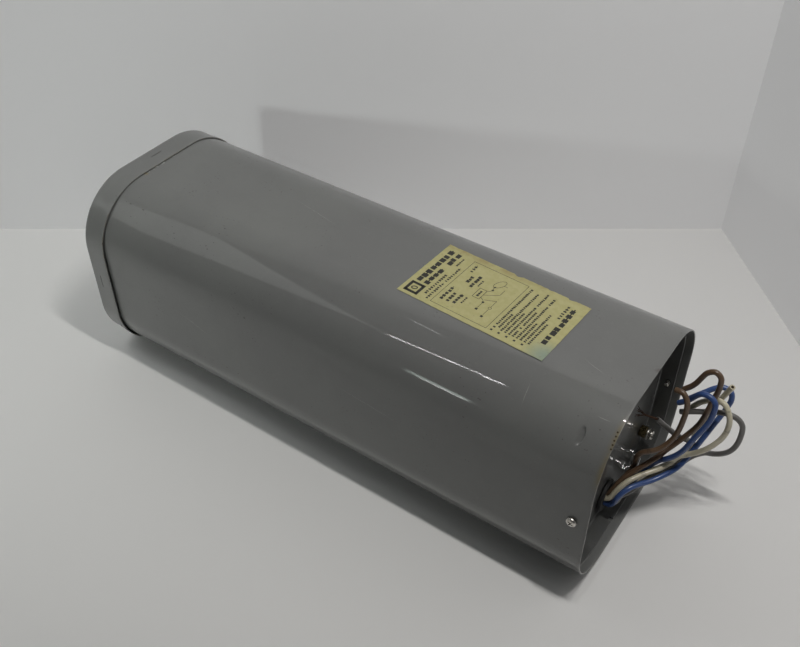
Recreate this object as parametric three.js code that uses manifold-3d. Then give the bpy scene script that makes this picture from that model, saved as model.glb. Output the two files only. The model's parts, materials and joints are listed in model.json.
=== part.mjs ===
// Ballast for a high-intensity discharge lamp, 1000 W class, in a rounded-square steel case.
// Millimetres, +Z up. The case lies on its back: the origin is the centre of the flat back face,
// +X runs along the case to the open end with the leads, and the label faces +Z.
import * as THREE from "three";
import { mergeVertices } from "three/addons/utils/BufferGeometryUtils.js";
import Module from "manifold-3d";

const wasm = await Module();
wasm.setup();

// ---- Driving dimensions ----
const CASE_LENGTH = 484;
const CASE_SIDE = 170;
const CORNER_RADIUS = 54;
const WALL = 1.2;
const GAP = 0.3;
const ARC_STEPS = 5;

const CAP_SHEET = 0.9;
const CAP_SKIRT = 25;
const CAP_EDGE_RADIUS = 4;
const CAP_LANCE = { fromLip: 13.5, length: 12.5, width: 0.9 };

const PLATE = { sheet: 1.2, recess: 19, flange: 12.5, bend: 2 };
const FLANGE_NOTCH = { y: -3, width: 4, depth: 3 };
const STOP_DENT = { length: 10, ramp: 8, depth: 2.2 };
const SIDE_SCREW = { fromRim: 11.5, nearZ: 89, farZ: 84, hole: 2.15 };
const SCREW_HEAD = { radius: 4, height: 2.6 };
const SCREW_SHANK = { radius: 1.8, length: 8 };
const CROSS_RECESS = { length: 4.6, width: 0.9, depth: 1.3 };

const KEYHOLE = { x: -190, head: 7, slot: 3.5, slotLength: 12 };
const LOWER_HOLE = { x: 196, radius: 3.5, length: 8 };

const GROMMET = { y: 2, z: 21, bore: 7.9, groove: 11, lip: 14, lipDepth: 3.4, innerDepth: 2.4 };
const EARTH = { y: 63, z: 40, postFlats: 9, postHeight: 5.6, bore: 2.6 };
const EARTH_WASHER = { radius: 5.2, thickness: 1.5 };
const EARTH_SCREW = { head: 4.2, height: 3.2, shank: 2.3, length: 15 };
const SLOT = { width: 1.1, depth: 1.4 };
const CLIP = { y: 50, z: 17, span: 12, reach: 9, strip: 5, sheet: 1 };

const LABEL = { fromRim: 129.6, length: 124.8, width: 68.4, thickness: 0.3, tilt: -3.1, corner: 3 };

const LEAD_RADIUS = 2.15;
const LEAD_SIDES = 8;
const LEAD_STEP = 6.5;
const LEAD_RING = 5.25;
const LEAD_INNER_X = 140;
const STRAND = { radius: 0.45, sides: 4, steps: 5, fan: [[-4, 1], [-2, 4], [0, 0], [2, 5], [3, 2]] };

const CORE = { start: -50, limb: 40, leg: 20, window: 22, end: 20, windowLength: 164, stack: 70 };
const CORE_GAP_SHEET = 0.6;
const BOLT = { fromEdge: 10, hole: 3.5, shank: 3, head: 5.4, headHeight: 4, nutHeight: 5 };
const COIL = { length: 67, build: 18.4, former: 1.5, flange: 1.2, overhang: 0.8, corner: 5 };
const SHUNT = { length: 18 };
const CLAMP = { leg: 20, drop: 12, sheet: 2 };
const FOOT = { sheet: 2, length: 22, top: 35, base: 20, toe: 8 };
const LINER = { sheet: 0.6, start: -65, end: 175 };
const CAPACITOR = { radius: 29, start: -214, length: 104, offset: 30.5, lid: 4 };
const TAB = { width: 6, thickness: 0.8, height: 8, spacing: 20 };
const STRAP = { width: 20, sheet: 1 };
const SHELF = { sheet: 1.5, length: 60, top: 40, base: 20, toe: 8 };
const RESISTOR = { radius: 3, length: 22, wire: 0.5 };

// ---- Places worked out from the driving dimensions ----
const HALF = CASE_SIDE / 2;
const RIM = CASE_LENGTH / 2;
const CAP_END = -CASE_LENGTH / 2;
const MID_Z = HALF;
const PLATE_FACE = RIM - PLATE.recess;
const SCREW_X = RIM - SIDE_SCREW.fromRim;
const SLEEVE_START = CAP_END + CAP_EDGE_RADIUS + GAP;
const FLANGE_EDGE = PLATE_FACE + PLATE.flange;
const CORE_LEG_END = CORE.start + CORE.end + CORE.windowLength;
const I_START = CORE_LEG_END + CORE_GAP_SHEET;
const CORE_END = I_START + CORE.end;
const CORE_HALF_Y = CORE.limb / 2 + CORE.window + CORE.leg;
const CORE_LOW = MID_Z - CORE.stack / 2;
const CORE_HIGH = MID_Z + CORE.stack / 2;
const FLOOR_IN = WALL + GAP + LINER.sheet + GAP;

// ---- Materials ----
function paint(color, roughness, metalness) {
  return new THREE.MeshStandardMaterial({ color, roughness, metalness });
}

const enamel = () => paint(0x7d7f7e, 0.4, 0.1);
const zinc = () => paint(0xc9c6bf, 0.3, 0.9);
const steel = () => paint(0x5f5f60, 0.45, 0.8);
const rubber = () => paint(0x1c1c1d, 0.7, 0);
const brass = () => paint(0xb59a5a, 0.35, 0.9);
const copper = () => paint(0x9a5a36, 0.4, 0.9);
const board = () => paint(0xa98a5c, 0.8, 0);
const lacquer = () => paint(0x7a3f1d, 0.4, 0.3);
const aluminium = () => paint(0xb4b6b8, 0.35, 0.9);

// ---- Solids ----
function solid(geometry) {
  const bare = geometry.clone();
  bare.deleteAttribute("normal");
  bare.deleteAttribute("uv");
  const merged = mergeVertices(bare, 1e-4);
  const triVerts = new Uint32Array(merged.index.array);
  const vertProperties = merged.attributes.position.array;
  const made = new wasm.Manifold(new wasm.Mesh({ numProp: 3, vertProperties, triVerts }));
  if (made.volume() > 0) {
    return made;
  }
  for (let i = 0; i < triVerts.length; i += 3) {
    [triVerts[i], triVerts[i + 1]] = [triVerts[i + 1], triVerts[i]];
  }
  return new wasm.Manifold(new wasm.Mesh({ numProp: 3, vertProperties, triVerts }));
}

function geometryOf(made) {
  const mesh = made.getMesh();
  const geometry = new THREE.BufferGeometry();
  geometry.setAttribute("position", new THREE.BufferAttribute(mesh.vertProperties, 3));
  geometry.setIndex(new THREE.BufferAttribute(mesh.triVerts, 1));
  geometry.computeVertexNormals();
  return geometry;
}

function union(solids) {
  return solids.reduce((total, next) => total.add(next));
}

function cut(base, tools) {
  return tools.reduce((rest, tool) => rest.subtract(tool), base);
}

// A box from its two corners.
function box(low, high) {
  const size = high.map((value, axis) => value - low[axis]);
  const geometry = new THREE.BoxGeometry(...size);
  geometry.translate(...low.map((value, axis) => value + size[axis] / 2));
  return solid(geometry);
}

// A cylinder centred on a point, with its axis along x, y or z.
function cylinder(radius, length, axis, centre, sides = 24) {
  const geometry = new THREE.CylinderGeometry(radius, radius, length, sides);
  if (axis === "x") {
    geometry.rotateZ(-Math.PI / 2);
  }
  if (axis === "z") {
    geometry.rotateX(Math.PI / 2);
  }
  geometry.translate(...centre);
  return solid(geometry);
}

// Turns a shape drawn in (Y, Z) into a prism along X.
const ALONG_X = new THREE.Matrix4().makeBasis(
  new THREE.Vector3(0, 1, 0),
  new THREE.Vector3(0, 0, 1),
  new THREE.Vector3(1, 0, 0),
);

function prismX(shape, from, to) {
  const settings = { depth: to - from, bevelEnabled: false, curveSegments: ARC_STEPS };
  const geometry = new THREE.ExtrudeGeometry(shape, settings);
  geometry.applyMatrix4(ALONG_X);
  geometry.translate(from, 0, 0);
  return solid(geometry);
}

// A prism along X whose end at "from" is rounded with the given edge radius.
function roundedPrismX(shape, from, to, edge) {
  const settings = {
    depth: to - from,
    bevelThickness: edge,
    bevelSize: edge,
    bevelOffset: -edge,
    bevelSegments: 3,
    curveSegments: ARC_STEPS,
  };
  const geometry = new THREE.ExtrudeGeometry(shape, settings);
  geometry.applyMatrix4(ALONG_X);
  geometry.translate(from + edge, 0, 0);
  const beyond = box([to, -CASE_SIDE, -CASE_SIDE], [to + 3 * edge, CASE_SIDE, 2 * CASE_SIDE]);
  return solid(geometry).subtract(beyond);
}

// The case outline in (Y, Z), grown or shrunk by an offset.
function outline(offset) {
  return roundedRectangle(CASE_SIDE + 2 * offset, CASE_SIDE + 2 * offset, CORNER_RADIUS + offset, 0, MID_Z);
}

function roundedRectangle(width, height, radius, centreY, centreZ) {
  const y = width / 2 - radius;
  const z = height / 2 - radius;
  const shape = new THREE.Shape();
  shape.absarc(centreY + y, centreZ - z, radius, -Math.PI / 2, 0);
  shape.absarc(centreY + y, centreZ + z, radius, 0, Math.PI / 2);
  shape.absarc(centreY - y, centreZ + z, radius, Math.PI / 2, Math.PI);
  shape.absarc(centreY - y, centreZ - z, radius, Math.PI, 1.5 * Math.PI);
  return shape;
}

function polygon(points) {
  return new THREE.Shape(points.map(([u, v]) => new THREE.Vector2(u, v)));
}

// A turned piece: profile points are (radius, height), and the height runs along the given axis.
function turned(profile, axis, centre, sides = 24) {
  const points = profile.map(([radius, height]) => new THREE.Vector2(radius, height));
  const geometry = new THREE.LatheGeometry(points, sides);
  if (axis === "x") {
    geometry.rotateZ(-Math.PI / 2);
  }
  if (axis === "-y") {
    geometry.rotateX(Math.PI);
  }
  geometry.translate(...centre);
  return solid(geometry);
}

// ---- The group ----
const group = new THREE.Group();

function place(name, made, material, position = [0, 0, 0], rotation = [0, 0, 0]) {
  const mesh = new THREE.Mesh(geometryOf(made), material);
  mesh.name = name;
  mesh.position.set(...position);
  mesh.rotation.set(...rotation);
  group.add(mesh);
}

// ---- Case sleeve ----
const CORNERS = [
  { y: 1, z: 1 },
  { y: -1, z: 1 },
  { y: -1, z: -1 },
  { y: 1, z: -1 },
];

// A triangular wedge that runs up towards the plate, placed on a corner of the case.
function wedge(corner, front, ramp, outer, inner, length) {
  const points = [
    [0, outer],
    [0, inner],
    [-ramp, outer],
  ];
  const settings = { depth: length, bevelEnabled: false };
  const geometry = new THREE.ExtrudeGeometry(polygon(points), settings);
  geometry.translate(front, 0, -length / 2);
  geometry.rotateX(Math.atan2(corner.z, corner.y));
  const arcCentre = HALF - CORNER_RADIUS;
  geometry.translate(0, corner.y * arcCentre, MID_Z + corner.z * arcCentre);
  return solid(geometry);
}

function stopDent(corner) {
  const front = PLATE_FACE - PLATE.sheet - GAP;
  const skin = CORNER_RADIUS - WALL;
  const length = STOP_DENT.length;
  const added = wedge(corner, front, STOP_DENT.ramp, skin + 0.4, skin - STOP_DENT.depth, length);
  const pit = wedge(
    corner,
    front - WALL,
    STOP_DENT.ramp - WALL,
    CORNER_RADIUS + 0.4,
    CORNER_RADIUS - STOP_DENT.depth,
    length - 1,
  );
  return { added, pit };
}

function backHoles() {
  const depth = 4 * WALL;
  const slotStart = KEYHOLE.x - KEYHOLE.slotLength;
  return [
    cylinder(KEYHOLE.head, depth, "z", [KEYHOLE.x, 0, 0]),
    box([slotStart, -KEYHOLE.slot, -depth], [KEYHOLE.x, KEYHOLE.slot, depth]),
    cylinder(KEYHOLE.slot, depth, "z", [slotStart, 0, 0]),
    cylinder(LOWER_HOLE.radius, depth, "z", [LOWER_HOLE.x, 0, 0]),
    cylinder(LOWER_HOLE.radius, depth, "z", [LOWER_HOLE.x + LOWER_HOLE.length, 0, 0]),
    box(
      [LOWER_HOLE.x, -LOWER_HOLE.radius, -depth],
      [LOWER_HOLE.x + LOWER_HOLE.length, LOWER_HOLE.radius, depth],
    ),
  ];
}

function sideScrewHoles() {
  return [
    cylinder(SIDE_SCREW.hole, 12, "y", [SCREW_X, -HALF, SIDE_SCREW.nearZ], 16),
    cylinder(SIDE_SCREW.hole, 12, "y", [SCREW_X, HALF, SIDE_SCREW.farZ], 16),
  ];
}

// The tube is two lengths, so that the back face outside the cap is a face of its own.
function makeSleeve() {
  const clear = CAP_END + CAP_SKIRT + 1;
  const tube = union([prismX(outline(0), SLEEVE_START, clear), prismX(outline(0), clear, RIM)]);
  const hollow = prismX(outline(-WALL), SLEEVE_START - 1, RIM + 1);
  const dents = CORNERS.map(stopDent);
  const shell = union([tube.subtract(hollow), ...dents.map((dent) => dent.added)]);
  return cut(shell, [...dents.map((dent) => dent.pit), ...backHoles(), ...sideScrewHoles()]);
}

place("case_sleeve", makeSleeve(), enamel());

// ---- End cap ----
function makeCap() {
  const lip = CAP_END + CAP_SKIRT;
  const outer = roundedPrismX(outline(GAP + CAP_SHEET), CAP_END, lip, CAP_EDGE_RADIUS);
  const inner = roundedPrismX(outline(GAP), CAP_END + CAP_SHEET, lip + 1, CAP_EDGE_RADIUS - CAP_SHEET);
  const x = lip - CAP_LANCE.fromLip;
  const reach = HALF + 10;
  const across = CAP_LANCE.length / 2;
  const thick = CAP_LANCE.width / 2;
  const skin = HALF - 1;
  const lances = [
    box([x - thick, -reach, MID_Z - across], [x + thick, -skin, MID_Z + across]),
    box([x - thick, skin, MID_Z - across], [x + thick, reach, MID_Z + across]),
    box([x - thick, -across, MID_Z + skin], [x + thick, across, MID_Z + reach]),
    box([x - thick, -across, MID_Z - reach], [x + thick, across, MID_Z - skin]),
  ];
  return cut(outer.subtract(inner), lances);
}

place("end_cap", makeCap(), enamel());

// ---- Lead plate ----
function makeLeadPlate() {
  const back = PLATE_FACE - PLATE.sheet;
  const fit = -WALL - GAP;
  const outer = roundedPrismX(outline(fit), back, FLANGE_EDGE, PLATE.bend);
  const inner = prismX(outline(fit - PLATE.sheet), PLATE_FACE, FLANGE_EDGE + 1);
  const depth = 8 * PLATE.sheet;
  const notchLow = FLANGE_NOTCH.y - FLANGE_NOTCH.width / 2;
  const notch = box(
    [FLANGE_EDGE - FLANGE_NOTCH.depth, notchLow, 0],
    [FLANGE_EDGE + 1, notchLow + FLANGE_NOTCH.width, 5],
  );
  return cut(outer.subtract(inner), [
    cylinder(GROMMET.groove + GAP, depth, "x", [PLATE_FACE, GROMMET.y, GROMMET.z], 32),
    cylinder(EARTH.bore, depth, "x", [PLATE_FACE, EARTH.y, EARTH.z], 16),
    notch,
    ...sideScrewHoles(),
  ]);
}

place("lead_plate", makeLeadPlate(), enamel());

// ---- Rubber grommet: a grooved ring that snaps into the lead plate ----
function makeGrommet() {
  const groove = PLATE.sheet / 2 + GAP;
  const front = PLATE.sheet / 2 + GROMMET.lipDepth;
  const back = PLATE.sheet / 2 + GROMMET.innerDepth;
  const profile = [
    [GROMMET.bore, -back],
    [GROMMET.lip - 1, -back],
    [GROMMET.lip - 1, -groove],
    [GROMMET.groove, -groove],
    [GROMMET.groove, groove],
    [GROMMET.lip, groove],
    [GROMMET.lip, front - 1.4],
    [GROMMET.lip - 1.4, front],
    [GROMMET.bore + 1, front],
    [GROMMET.bore, front - 1],
    [GROMMET.bore, -back],
  ];
  return turned(profile, "x", [PLATE_FACE - PLATE.sheet / 2, GROMMET.y, GROMMET.z], 32);
}

place("rubber_grommet", makeGrommet(), rubber());

// ---- Side screws: cross-recess pan heads, head outwards along -Y before turning ----
function makeSideScrew() {
  const dome = SCREW_HEAD.height;
  const profile = [
    [0, -SCREW_SHANK.length],
    [SCREW_SHANK.radius - 0.5, -SCREW_SHANK.length],
    [SCREW_SHANK.radius, -SCREW_SHANK.length + 0.6],
    [SCREW_SHANK.radius, 0],
    [SCREW_HEAD.radius, 0],
    [SCREW_HEAD.radius, 0.4 * dome],
    [0.86 * SCREW_HEAD.radius, 0.75 * dome],
    [0.6 * SCREW_HEAD.radius, 0.95 * dome],
    [0, dome],
  ];
  const body = turned(profile, "-y", [0, 0, 0], 20);
  const bottom = -dome + CROSS_RECESS.depth;
  const long = CROSS_RECESS.length / 2;
  const thin = CROSS_RECESS.width / 2;
  return cut(body, [
    box([-long, -dome - 1, -thin], [long, bottom, thin]),
    box([-thin, -dome - 1, -long], [thin, bottom, long]),
  ]);
}

const SCREW_SEAT = HALF + GAP;
const NEAR_PLACE = [SCREW_X, -SCREW_SEAT, SIDE_SCREW.nearZ];
const FAR_PLACE = [SCREW_X, SCREW_SEAT, SIDE_SCREW.farZ];
place("side_screw_near", makeSideScrew(), zinc(), NEAR_PLACE, [0, 0.5, 0]);
place("side_screw_far", makeSideScrew(), zinc(), FAR_PLACE, [0, 0, Math.PI]);

// ---- Earth terminal: hexagonal post, cup washer and slotted screw ----
const POST_START = PLATE_FACE + GAP;
const WASHER_START = POST_START + EARTH.postHeight + GAP;
const EARTH_HEAD = WASHER_START + EARTH_WASHER.thickness + GAP;

function makeEarthPost() {
  const radius = EARTH.postFlats / Math.sqrt(3);
  const middle = POST_START + EARTH.postHeight / 2;
  const hex = cylinder(radius, EARTH.postHeight, "x", [middle, EARTH.y, EARTH.z], 6);
  return hex.subtract(cylinder(EARTH.bore, 3 * EARTH.postHeight, "x", [middle, EARTH.y, EARTH.z], 16));
}

function makeEarthWasher() {
  const thick = EARTH_WASHER.thickness;
  const profile = [
    [EARTH.bore, 0.5],
    [EARTH_WASHER.radius - 1, 0.5],
    [EARTH_WASHER.radius - 0.8, 0],
    [EARTH_WASHER.radius, 0],
    [EARTH_WASHER.radius, thick - 0.3],
    [EARTH_WASHER.radius - 0.3, thick],
    [EARTH.bore, thick],
    [EARTH.bore, 0.5],
  ];
  return turned(profile, "x", [WASHER_START, EARTH.y, EARTH.z], 20);
}

function makeEarthScrew() {
  const top = EARTH_SCREW.height;
  const profile = [
    [0, -EARTH_SCREW.length],
    [EARTH_SCREW.shank - 0.6, -EARTH_SCREW.length],
    [EARTH_SCREW.shank, -EARTH_SCREW.length + 0.7],
    [EARTH_SCREW.shank, 0],
    [EARTH_SCREW.head, 0],
    [EARTH_SCREW.head, 0.7 * top],
    [0.85 * EARTH_SCREW.head, top],
    [0, top],
  ];
  const body = turned(profile, "x", [0, 0, 0], 20);
  const reach = EARTH_SCREW.head + 1;
  return body.subtract(box([top - SLOT.depth, -reach, -SLOT.width / 2], [top + 1, reach, SLOT.width / 2]));
}

place("earth_post", makeEarthPost(), brass());
place("earth_cup_washer", makeEarthWasher(), zinc());
place("earth_screw", makeEarthScrew(), zinc(), [EARTH_HEAD, EARTH.y, EARTH.z], [-0.45, 0, 0]);

// ---- Wire clip: a bent strip that stands on the lead plate ----
function makeClip() {
  const half = CLIP.span / 2;
  const reach = CLIP.reach;
  const sheet = CLIP.sheet;
  const shape = polygon([
    [0, -half - 4],
    [sheet, -half - 4],
    [sheet, -half],
    [reach - 2, -half],
    [reach, -half + 2],
    [reach, half - 2],
    [reach - 2, half],
    [sheet, half],
    [sheet, half + 3],
    [0, half + 3],
    [0, half - sheet],
    [reach - 2.4, half - sheet],
    [reach - sheet, half - 2.4],
    [reach - sheet, -half + 2.4],
    [reach - 2.4, -half + sheet],
    [0, -half + sheet],
  ]);
  const geometry = new THREE.ExtrudeGeometry(shape, { depth: CLIP.strip, bevelEnabled: false });
  geometry.translate(0, 0, -CLIP.strip / 2);
  return solid(geometry);
}

place("wire_clip", makeClip(), zinc(), [PLATE_FACE + GAP, CLIP.y, CLIP.z], [0.7, 0, 0]);

// ---- Rating label ----
function makeLabel() {
  const { length, width, corner, thickness } = LABEL;
  const shape = roundedRectangle(length, width, corner, 0, 0);
  const settings = { depth: thickness, bevelEnabled: false, curveSegments: 3 };
  return solid(new THREE.ExtrudeGeometry(shape, settings));
}

const LABEL_PLACE = [RIM - LABEL.fromRim, 0, CASE_SIDE + 0.1];
const LABEL_TURN = [0, 0, THREE.MathUtils.degToRad(LABEL.tilt)];
place("rating_label", makeLabel(), paint(0xb9b389, 0.6, 0), LABEL_PLACE, LABEL_TURN);

// ---- Leads: each runs straight through the grommet, then bends up and loops outside the case ----
// A seat is the lead's place in the grommet: 0 is the centre, and 1 to 7 go round it.
function seat(index) {
  if (index === 0) {
    return [GROMMET.y, GROMMET.z];
  }
  const angle = ((index - 1) / 7) * 2 * Math.PI;
  return [GROMMET.y + LEAD_RING * Math.cos(angle), GROMMET.z + LEAD_RING * Math.sin(angle)];
}

const LEADS = [
  {
    name: "brown_lead_a",
    color: 0x5b3a22,
    seat: 2,
    loop: [
      [229.8, 8.2, 29],
      [230.5, 12.5, 32],
      [233, 18.5, 36],
      [235, 23, 42.5],
      [235.5, 22, 51],
      [237, 20, 60],
      [241, 20.5, 66],
      [248, 24, 69],
      [256, 31, 80],
      [259, 34, 99],
      [258, 36, 117],
      [253, 37, 123],
      [247, 38, 122],
    ],
  },
  {
    name: "brown_lead_b",
    color: 0x5b3a22,
    seat: 3,
    loop: [
      [229.2, 4.5, 31.8],
      [232.2, 10, 37.5],
      [237, 17, 43],
      [243, 22.5, 50],
      [249, 29.3, 56.2],
      [252.7, 36.3, 60.5],
      [257, 42, 65.5],
      [262.5, 45.5, 75.5],
      [269, 46.5, 92],
      [272.5, 50, 116],
      [274, 51, 130],
      [271, 52, 140],
      [264, 52, 138],
      [256, 51, 121],
      [250, 50, 114],
    ],
  },
  {
    name: "blue_lead_a",
    color: 0x2f4a8c,
    seat: 0,
    loop: [
      [233, 7.3, 24.5],
      [238, 15, 32.5],
      [242, 23, 39.5],
      [246.3, 29.7, 45.6],
      [251, 32.5, 51.3],
      [255.2, 31.3, 56.5],
      [260, 31.5, 62.5],
      [265, 31.5, 71.5],
      [271, 33, 90],
      [277, 38, 110],
      [275, 41, 124],
      [266, 42, 125],
      [256, 45, 110],
      [250, 46, 103],
    ],
  },
  {
    name: "blue_lead_b",
    color: 0x2f4a8c,
    seat: 5,
    loop: [
      [230.5, -3.5, 19.5],
      [233.5, -4, 24.5],
      [235.5, -3.2, 31.5],
      [238.5, 1, 37],
      [243, 8, 39.5],
      [248.5, 15.5, 39.5],
      [255.5, 24.5, 41.5],
      [264.5, 36, 48.5],
      [271, 49, 65],
      [276, 60, 81],
      [281, 67, 100],
      [281, 69, 110.5],
      [273, 69, 113.5],
      [262, 62, 107],
      [255, 56, 102],
    ],
  },
  {
    name: "white_lead_a",
    color: 0xd2cdb8,
    seat: 4,
    loop: [
      [230.2, -2.3, 27],
      [232.5, 2, 33.5],
      [237, 9, 39.5],
      [244, 19, 42.5],
      [252, 28, 45.3],
      [258.5, 35.5, 50],
      [262.5, 38.5, 57.5],
      [268.5, 40.5, 62],
      [276, 43, 68],
      [283, 46, 77],
      [288, 49, 90],
      [287, 50, 106],
      [279, 52.5, 115],
      [266, 57.5, 104.5],
      [254, 63, 83],
    ],
  },
  {
    name: "white_lead_b",
    color: 0xd2cdb8,
    seat: 1,
    loop: [
      [233, 15.5, 23.3],
      [243, 28, 33],
      [256.5, 40.5, 43.5],
      [264.7, 48, 58],
      [268, 55, 77],
      [272, 63, 96],
      [276, 62.5, 110],
      [281, 60, 126],
    ],
  },
  {
    name: "grey_lead_a",
    color: 0x6f6e6d,
    seat: 6,
    loop: [
      [231.7, 0.6, 18.3],
      [234.8, 1.2, 23.6],
      [236, 6, 30],
      [240.5, 11.5, 34],
      [247, 19, 35.5],
      [254, 28, 37.5],
      [262.5, 39, 44],
      [269.5, 49.5, 51],
      [277, 56, 54.5],
      [286, 57.5, 57.5],
      [294, 58, 66],
      [297.5, 58, 80],
      [295, 57, 99],
      [285, 56, 103],
      [269, 57, 95],
      [251, 55, 86],
    ],
  },
  {
    name: "grey_lead_b",
    color: 0x6f6e6d,
    seat: 7,
    loop: [
      [235, 12.5, 18],
      [247, 33, 27],
      [260, 49, 39],
      [269, 58.5, 53],
      [263, 56, 59.5],
      [256.5, 51.5, 64],
      [248, 46, 73],
      [240, 37.5, 86.5],
    ],
  },
];

function leadCurve(lead) {
  const [y, z] = seat(lead.seat);
  const straight = [
    [LEAD_INNER_X, y, z],
    [PLATE_FACE - 20, y, z],
    [PLATE_FACE - 4, y, z],
    [PLATE_FACE + 4, y, z],
  ];
  const points = [...straight, ...lead.loop].map((point) => new THREE.Vector3(...point));
  return new THREE.CatmullRomCurve3(points, false, "centripetal");
}

function circle(radius, sides) {
  const points = [];
  for (let i = 0; i < sides; i += 1) {
    const angle = (i / sides) * 2 * Math.PI;
    points.push([radius * Math.cos(angle), radius * Math.sin(angle)]);
  }
  return polygon(points);
}

function sweep(curve, radius, sides, steps) {
  const settings = { extrudePath: curve, steps, bevelEnabled: false };
  return solid(new THREE.ExtrudeGeometry(circle(radius, sides), settings));
}

for (const lead of LEADS) {
  const curve = leadCurve(lead);
  const steps = Math.round(curve.getLength() / LEAD_STEP);
  place(lead.name, sweep(curve, LEAD_RADIUS, LEAD_SIDES, steps), paint(lead.color, 0.4, 0));
}

// Bare strands that fan out of the end of the second grey lead.
function makeStrands() {
  const strands = STRAND.fan.map(([dy, dz]) => {
    const start = new THREE.Vector3(239.2, 36.8, 86.4);
    const middle = new THREE.Vector3(231, 34, 89);
    const end = new THREE.Vector3(225, 30 + dy, 91 + dz);
    const curve = new THREE.CatmullRomCurve3([start, middle, end]);
    return sweep(curve, STRAND.radius, STRAND.sides, STRAND.steps);
  });
  return union(strands);
}

place("copper_strands", makeStrands(), copper());

// ---- Core: E and I laminations with bolt holes ----
const BOLT_X = [CORE.start + BOLT.fromEdge, CORE_END - BOLT.fromEdge];
const BOLT_Y = CORE_HALF_Y - BOLT.fromEdge;

function boltHoles(x) {
  return [-BOLT_Y, BOLT_Y].map((y) => cylinder(BOLT.hole, 2 * CORE.stack, "z", [x, y, MID_Z], 12));
}

function makeECore() {
  const block = box([CORE.start, -CORE_HALF_Y, CORE_LOW], [CORE_LEG_END, CORE_HALF_Y, CORE_HIGH]);
  const inner = CORE.limb / 2;
  const outer = inner + CORE.window;
  const start = CORE.start + CORE.end;
  return cut(block, [
    box([start, inner, 0], [CORE_LEG_END + 1, outer, CASE_SIDE]),
    box([start, -outer, 0], [CORE_LEG_END + 1, -inner, CASE_SIDE]),
    ...boltHoles(BOLT_X[0]),
  ]);
}

function makeICore() {
  const block = box([I_START, -CORE_HALF_Y, CORE_LOW], [CORE_END, CORE_HALF_Y, CORE_HIGH]);
  return cut(block, boltHoles(BOLT_X[1]));
}

place("core_e_stack", makeECore(), steel());
place("core_i_stack", makeICore(), steel());

function makeGapSpacer() {
  const margin = 0.15;
  return box(
    [CORE_LEG_END + margin, -CORE.limb / 2, CORE_LOW],
    [I_START - margin, CORE.limb / 2, CORE_HIGH],
  );
}

place("core_gap_spacer", makeGapSpacer(), board());

// ---- Coils: a former with two flanges, and a winding on it ----
const LIMB_HALF_Y = CORE.limb / 2;
const LIMB_HALF_Z = CORE.stack / 2;

// A block along X with the section of the limb grown by an offset.
function limbBlock(offset, from, to) {
  const y = LIMB_HALF_Y + offset;
  const z = LIMB_HALF_Z + offset;
  return box([from, -y, MID_Z - z], [to, y, MID_Z + z]);
}

function makeFormer(start) {
  const wall = GAP + COIL.former;
  const rim = wall + GAP + COIL.build + COIL.overhang;
  const end = start + COIL.length;
  const tube = limbBlock(wall, start, end);
  const flanges = [
    limbBlock(rim, start, start + COIL.flange),
    limbBlock(rim, end - COIL.flange, end),
  ];
  return union([tube, ...flanges]).subtract(limbBlock(GAP, start - 1, end + 1));
}

function makeWinding(start) {
  const inside = 2 * GAP + COIL.former;
  const from = start + COIL.flange + GAP;
  const to = start + COIL.length - COIL.flange - GAP;
  const width = 2 * (LIMB_HALF_Y + inside + COIL.build);
  const height = 2 * (LIMB_HALF_Z + inside + COIL.build);
  const body = prismX(roundedRectangle(width, height, COIL.corner, 0, MID_Z), from, to);
  return body.subtract(limbBlock(inside, from - 1, to + 1));
}

const PRIMARY_START = CORE.start + CORE.end + 2;
const SECONDARY_START = CORE_LEG_END - 2 - COIL.length;
place("primary_former", makeFormer(PRIMARY_START), board());
place("primary_winding", makeWinding(PRIMARY_START), lacquer());
place("secondary_former", makeFormer(SECONDARY_START), board());
place("secondary_winding", makeWinding(SECONDARY_START), lacquer());

// Magnetic shunts fill the two windows between the coils.
function makeShunt(side) {
  const middle = (PRIMARY_START + COIL.length + SECONDARY_START) / 2;
  const inner = LIMB_HALF_Y + GAP;
  const outer = LIMB_HALF_Y + CORE.window - GAP;
  const low = side > 0 ? inner : -outer;
  const high = side > 0 ? outer : -inner;
  const half = SHUNT.length / 2;
  return box([middle - half, low, CORE_LOW], [middle + half, high, CORE_HIGH]);
}

place("shunt_near", makeShunt(-1), steel());
place("shunt_far", makeShunt(1), steel());

// ---- Clamp angles, bolts and nuts ----
function makeClampAngle() {
  const shape = polygon([
    [-GAP - CLAMP.sheet, -CLAMP.drop],
    [-GAP, -CLAMP.drop],
    [-GAP, GAP],
    [CLAMP.leg, GAP],
    [CLAMP.leg, GAP + CLAMP.sheet],
    [-GAP - CLAMP.sheet, GAP + CLAMP.sheet],
  ]);
  const length = 2 * CORE_HALF_Y;
  const geometry = new THREE.ExtrudeGeometry(shape, { depth: length, bevelEnabled: false });
  geometry.translate(0, 0, -length / 2);
  geometry.rotateX(Math.PI / 2);
  const holes = [-BOLT_Y, BOLT_Y].map((y) => cylinder(BOLT.hole, 20, "z", [BOLT.fromEdge, y, 0], 12));
  return cut(solid(geometry), holes);
}

const CLAMP_PLACES = [
  { name: "clamp_angle_cap_upper", at: [CORE.start, 0, CORE_HIGH], turn: [0, 0, 0] },
  { name: "clamp_angle_cap_lower", at: [CORE.start, 0, CORE_LOW], turn: [Math.PI, 0, 0] },
  { name: "clamp_angle_lead_upper", at: [CORE_END, 0, CORE_HIGH], turn: [0, 0, Math.PI] },
  { name: "clamp_angle_lead_lower", at: [CORE_END, 0, CORE_LOW], turn: [0, Math.PI, 0] },
];

for (const clamp of CLAMP_PLACES) {
  place(clamp.name, makeClampAngle(), steel(), clamp.at, clamp.turn);
}

const BOLT_TOP = CORE_HIGH + 2 * GAP + CLAMP.sheet;
const NUT_TOP = CORE_LOW - 2 * GAP - CLAMP.sheet;

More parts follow.
